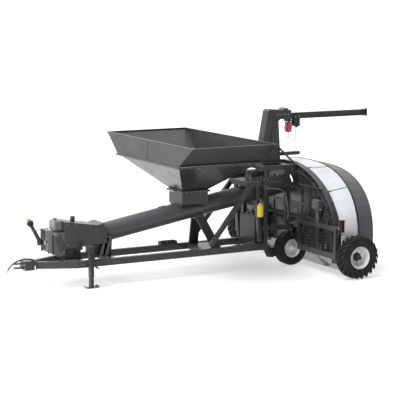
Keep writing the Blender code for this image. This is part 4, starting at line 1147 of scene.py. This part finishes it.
def wall_details():
    """Ribs, blank plates and braces on the tunnel's front wall."""
    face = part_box("tunnel_front_wall")[0].y
    ribs = bmesh.new()
    plates = bmesh.new()
    braces = bmesh.new()
    for sign in (1, -1):
        for x, top in ((0.62, 2.02), (0.98, 1.92), (1.34, 1.74)):
            block(ribs, (sign * x - 0.02, face - 0.025, 1.16), (sign * x + 0.02, face + 0.001, top))
        block(ribs, (sign * 0.45, face - 0.02, 1.44), (sign * 1.62, face + 0.001, 1.48))
        block(plates, (sign * 0.16, face - 0.012, 1.50), (sign * 0.56, face, 1.64))
        block(plates, (sign * 0.06, face - 0.012, 1.20), (sign * 0.44, face, 1.32))
        rod(braces, (sign * 1.28, 2.22, 1.75), (sign * 0.86, 2.22, 1.14), 0.018, sides=14)
        rod(braces, (sign * 1.62, 2.22, 1.14), (sign * 1.86, 2.26, 1.62), 0.016, sides=14)
        rod(braces, (sign * 0.62, 2.24, 1.93), (sign * 1.66, 2.24, 1.93), 0.016, sides=14)
    piece("wall_ribs", ribs, "charcoal_paint")
    piece("wall_blank_plates", plates, "light_grey_paint")
    piece("wall_braces", braces, "charcoal_paint")


def valve_details():
    """Ports, hoses and coloured caps of the control valve, and the looped hose beside it."""
    low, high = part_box("control_valve")
    ports = bmesh.new()
    spool_x = [low.x + 0.03 + index * 0.05 for index in range(5)]
    for x in spool_x:
        rod(ports, (x, low.y + 0.04, high.z - 0.002), (x, low.y + 0.04, high.z + 0.022), 0.014, sides=12)
        rod(ports, (x, low.y + 0.10, low.z + 0.35), (x, low.y + 0.10, low.z + 0.29), 0.015, sides=6)
    hardware("valve_ports", ports, edge=0.001)
    for index, x in enumerate(spool_x[:4]):
        route = [(x, 2.25, 1.44), (x, 2.25, 1.36), (x - 0.02, 2.23, 1.25 - index * 0.01),
                 (x - 0.14, 2.18, 1.20), (x - 0.34, 2.16, 1.195 + index * 0.022),
                 (x - 0.60, 2.165, 1.19 + index * 0.022), (x - 0.80, 2.18, 1.185 + index * 0.02)]
        pipe(f"valve_hose_{index}", route, 0.011)
    caps = bmesh.new()
    for x in (1.395, 1.545):
        rod(caps, (x, 2.15, 1.56), (x, 2.130, 1.56), 0.013, sides=16)
    piece("valve_red_caps", caps, "red_paint", edge=0.001)
    cap = bmesh.new()
    rod(cap, (1.470, 2.15, 1.515), (1.470, 2.135, 1.515), 0.016, sides=16)
    piece("valve_green_cap", cap, "grey_panel", edge=0.001, surface=GREEN)
    pipe("wall_hose_loop", [(0.30, 2.10, 1.60), (0.32, 2.06, 1.72), (0.38, 2.12, 1.84), (0.50, 2.22, 1.86),
                            (0.64, 2.26, 1.78), (0.74, 2.28, 1.62), (0.78, 2.29, 1.50)], 0.015)


def wheel_well():
    """A sheet box inside the tunnel behind the gauge wheel."""
    low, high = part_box("gauge_wheel_tyre")
    inside = low.x - 0.045
    outside = high.x + 0.045
    roof = 0.885
    foot = 0.40
    sheet = 0.006
    rear = high.y + 0.10
    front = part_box("tunnel_front_wall")[1].y + 0.001
    well = bmesh.new()
    block(well, (inside, front, roof), (outside, rear, roof + sheet))
    block(well, (inside, rear - sheet, foot), (outside, rear, roof + 0.002))
    for x in (inside, outside - sheet):
        block(well, (x, front, foot), (x + sheet, rear, roof + 0.002))
    block(well, (inside, front + 0.05, roof - 0.05), (outside, front + 0.05 + sheet, roof))
    piece("gauge_wheel_well", well, "black_paint", edge=0.001)


def beam_fittings():
    """Blocks on the upper beam, small fittings between the two beams, and bolts."""
    bits = bmesh.new()
    for sign in (1, -1):
        for x, wide, tall in ((0.90, 0.16, 0.10), (1.10, 0.10, 0.07), (1.86, 0.12, 0.12)):
            block(bits, (sign * x - wide / 2, 2.21, 1.155), (sign * x + wide / 2, 2.29, 1.155 + tall))
        for x, z in ((0.86, 0.56), (1.00, 0.84), (1.14, 0.60), (1.30, 0.80), (1.72, 0.56), (1.94, 0.62)):
            block(bits, (sign * x - 0.05, 2.14, z), (sign * x + 0.05, 2.20, z + 0.14))
            rod(bits, (sign * x, 2.17, z + 0.13), (sign * x, 2.17, z + 0.20), 0.018, sides=12)
    piece("beam_fittings", bits, "black_paint", edge=0.004)
    bolts = bmesh.new()
    for sign in (1, -1):
        for x in (0.60, 0.76, 1.44, 1.56, 2.12):
            bolt(bolts, (sign * x, 2.20, 1.10), (0, -1, 0), 0.014)
            bolt(bolts, (sign * x, 2.202, 0.48), (0, -1, 0), 0.012)
    hardware("beam_bolts", bolts)


def beam_hoses():
    """Six hoses on each side, one above the other, all on the same wavy line."""
    wave = ((0.60, 2.17, 0.10), (0.80, 2.15, 0.03), (1.05, 2.13, -0.01), (1.35, 2.14, 0.02),
            (1.60, 2.13, -0.02), (1.90, 2.15, 0.05))
    for side, sign in SIDES:
        for index in range(6):
            z = 0.60 + index * 0.07
            pipe(f"beam_hose_{side}_{index}", [(sign * x, y, z + rise) for x, y, rise in wave], 0.010)


def marker_details():
    """The marker lights' lenses and backs, and the pale boards behind them."""
    lenses = bmesh.new()
    backs = bmesh.new()
    boards = bmesh.new()
    for side, sign in SIDES:
        low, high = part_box(f"marker_light_{side}")
        x = (low.x + high.x) / 2
        block(lenses, (x - 0.016, low.y - 0.006, 1.105), (x + 0.016, low.y + 0.004, 1.155))
        block(backs, (x - 0.030, high.y, 1.03), (x + 0.015, high.y + 0.090, 1.30))
        block(backs, (x - 0.034, high.y - 0.04, 1.285), (x + 0.030, high.y + 0.095, 1.305))
        block(boards, (sign * 2.285 - 0.006, 2.33, 0.70), (sign * 2.285 + 0.006, 2.43, 0.96))
    piece("marker_lenses", lenses, "amber_lens", edge=0.001)
    piece("marker_backs", backs, "black_paint", surface=FINISH["rubber"])
    piece("side_boards", boards, "light_grey_paint", surface=PALE)


tunnel_seams()
tunnel_bands()
tunnel_latches()
ring_details()
strap("strap_left_a", (0.62, 2.292, 2.08), (0.98, 2.262, 2.20))
strap("strap_left_b", (0.98, 2.262, 2.20), (1.10, 2.262, 2.06))
strap("strap_right_a", (-0.62, 2.292, 2.08), (-0.98, 2.262, 2.20))
wall_details()
valve_details()
wheel_well()
beam_fittings()
beam_hoses()
marker_details()


# Mast, boom and hoist ------------------------------------

PIN_Y = 2.36
HOIST_Y = 2.335


def mast_eye():
    """The lifting ring on the mast's top."""
    eye = bmesh.new()
    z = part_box("mast")[1].z - 0.035
    spots = [Vector((0, 2.21 + 0.035 * cos, z + 0.035 * sin)) for cos, sin in circle(12)]
    for spot, after in zip(spots, spots[1:] + spots[:1]):
        rod(eye, spot, after, 0.009, sides=10)
    piece("mast_eye", eye, "charcoal_paint", edge=0)


def mast_base():
    """The plate under the mast, and a cover strip up each of its sides."""
    base = bmesh.new()
    block(base, (-0.19, 1.45, 2.3805), (0.19, 2.07, 2.395))
    for sign in (1, -1):
        strip(base, (sign * 0.123, 1.80, 2.45), (sign * 0.123, 1.86, 3.50), 0.03, 0.008, (sign, 0, 0))
    piece("mast_base_plate", base, "charcoal_paint")


def mast_bolts():
    """Bolts at the mast's foot and head, and the two ends of the boom's pin."""
    bolts = bmesh.new()
    for sign in (1, -1):
        bolt_row(bolts, (sign * 0.165, 1.50, 2.395), (sign * 0.165, 2.02, 2.395), 5, (0, 0, 1), 0.013)
        bolt_row(bolts, (sign * 0.12, 1.98, 3.50), (sign * 0.12, 2.26, 3.50), 4, (sign, 0, 0), 0.012)
    for low, high in ((3.572, 3.592), (3.312, 3.328)):
        rod(bolts, (0, PIN_Y, low), (0, PIN_Y, high), 0.036, sides=20)
    hardware("mast_bolts", bolts)


def boom_end():
    """The boom's end plate, and the trolley's stop in front of it."""
    end = bmesh.new()
    low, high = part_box("hoist_boom")
    block(end, (-0.048, high.y - 0.006, low.z + 0.002), (0.048, high.y + 0.003, high.z - 0.002))
    block(end, (-0.040, high.y - 0.10, low.z + 0.012), (0.040, high.y - 0.085, high.z - 0.012))
    piece("boom_end_plate", end, "charcoal_paint", "boom")


def hoist_details():
    """Round covers and bolts of the chain hoist, the trolley's axle ends and the hand chain's wheel."""
    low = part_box("chain_hoist")[0]
    gears = (low.z + 0.06, low.z + 0.185)
    lobes = bmesh.new()
    for z, radius in zip(gears, (0.062, 0.056)):
        rod(lobes, (-0.082, HOIST_Y, z), (-0.060, HOIST_Y, z), radius * 0.82, radius, sides=28)
        rod(lobes, (0.060, HOIST_Y, z), (0.082, HOIST_Y, z), radius, radius * 0.82, sides=28)
    piece("hoist_lobes", lobes, "red_paint", "trolley", 0.003)
    bolts = bmesh.new()
    side_bolts(bolts, 0.060, ((2.29, 3.09), (2.38, 3.09), (2.29, 3.29), (2.38, 3.29)), 0.007)
    for sign in (1, -1):
        for z in gears:
            rod(bolts, (sign * 0.080, HOIST_Y, z), (sign * 0.088, HOIST_Y, z), 0.016, sides=16)
        for y in (2.49, 2.59):
            rod(bolts, (sign * 0.060, y, 3.43), (sign * 0.072, y, 3.43), 0.016, sides=16)
    hardware("hoist_bolts", bolts, "trolley")
    disc = bmesh.new()
    rod(disc, (-0.020, 2.56, 3.215), (0.020, 2.56, 3.215), 0.044, sides=28)
    piece("hand_chain_wheel", disc, "black_paint", "trolley")


mast_eye()
mast_base()
mast_bolts()
boom_end()
hoist_details()


# Bag pan, gauge arm --------------------------------------

def pan_ribs():
    ribs = bmesh.new()
    for index in range(11):
        y = 2.64 + index * 0.058
        block(ribs, (-1.66, y, 0.0775), (1.66, y + 0.022, 0.0855))
    piece("pan_ribs", ribs, "galvanised_steel", "bag_pan")


def arm_pin():
    """The heads of the gauge arm's pivot pin."""
    pin = bmesh.new()
    for sign, x in ((1, 0.260), (-1, 0.155)):
        bolt(pin, (x, 1.585, 0.490), (sign, 0, 0), 0.020)
    hardware("arm_pivot_pin", pin, edge=0.001)


def wheel_stay():
    """The two bars that meet over the gauge wheel."""
    stay = bmesh.new()
    apex = Vector((0.545, 2.06, 0.86))
    for foot in (Vector((0.545, 1.84, 0.70)), Vector((0.545, 2.30, 0.52))):
        strip(stay, apex, foot, 0.045, 0.012, (1, 0, 0))
    rod(stay, (0.500, 2.06, 0.86), (0.556, 2.06, 0.86), 0.022, sides=18)
    piece("wheel_stay", stay, "charcoal_paint")


pan_ribs()
arm_pin()
wheel_stay()


# Floor and light -----------------------------------------

def floor():
    """A pale floor with a little glow of its own, which keeps the shadow light."""
    n = Nodes("pale_floor")
    tone = n.ramp(n.noise(0.5, 3.0), (0.3, 0.48), (0.7, 0.52))
    n.shader.inputs["Emission Color"].default_value = (1.0, 1.0, 1.0, 1)
    n.shader.inputs["Emission Strength"].default_value = 0.45
    surface = n.done(tone, n.ramp(n.noise(2.0), (0.3, 0.55), (0.7, 0.65)))
    mesh = bmesh.new()
    bmesh.ops.create_grid(mesh, x_segments=2, y_segments=2, size=90)
    data = bpy.data.meshes.new("floor")
    mesh.to_mesh(data)
    mesh.free()
    data.materials.append(surface)
    show("floor", data)


def lamp(name, kind, power, direction):
    data = bpy.data.lights.new(name, kind)
    data.energy = power
    light = show(name, data)
    light.rotation_euler = Vector(direction).to_track_quat("-Z", "Y").to_euler()
    return light


def lamps():
    """A broad soft sun from above, and a large panel in front of the machine."""
    sun = lamp("sky_panel", "SUN", 2.6, (-0.10, 0.50, -0.86))
    sun.data.angle = math.radians(32)
    place = Vector((1.0, -12.0, 3.2))
    panel = lamp("front_panel", "AREA", 750, Vector((0, -1.0, 1.8)) - place)
    panel.data.size = 5.0
    panel.location = place


def studio():
    """A white surround that darkens towards the machine's left, the camera's side."""
    world = bpy.data.worlds.new("studio")
    bpy.context.scene.world = world
    world.use_nodes = True
    tree = world.node_tree
    backdrop = tree.nodes["Background"]
    direction = tree.nodes.new("ShaderNodeTexCoord")
    facing = tree.nodes.new("ShaderNodeVectorMath")
    facing.operation = "DOT_PRODUCT"
    facing.inputs[1].default_value = (0.92, 0.20, 0.0)
    band = tree.nodes.new("ShaderNodeMapRange")
    for socket, value in (("From Min", -0.15), ("From Max", 0.55), ("To Min", 1.30), ("To Max", 0.30)):
        band.inputs[socket].default_value = value
    tree.links.new(direction.outputs["Generated"], facing.inputs[0])
    tree.links.new(facing.outputs["Value"], band.inputs["Value"])
    tree.links.new(band.outputs["Result"], backdrop.inputs["Strength"])
    backdrop.inputs["Color"].default_value = (1.0, 1.0, 1.0, 1)
    bpy.context.scene.view_settings.view_transform = "Standard"


floor()
lamps()
studio()
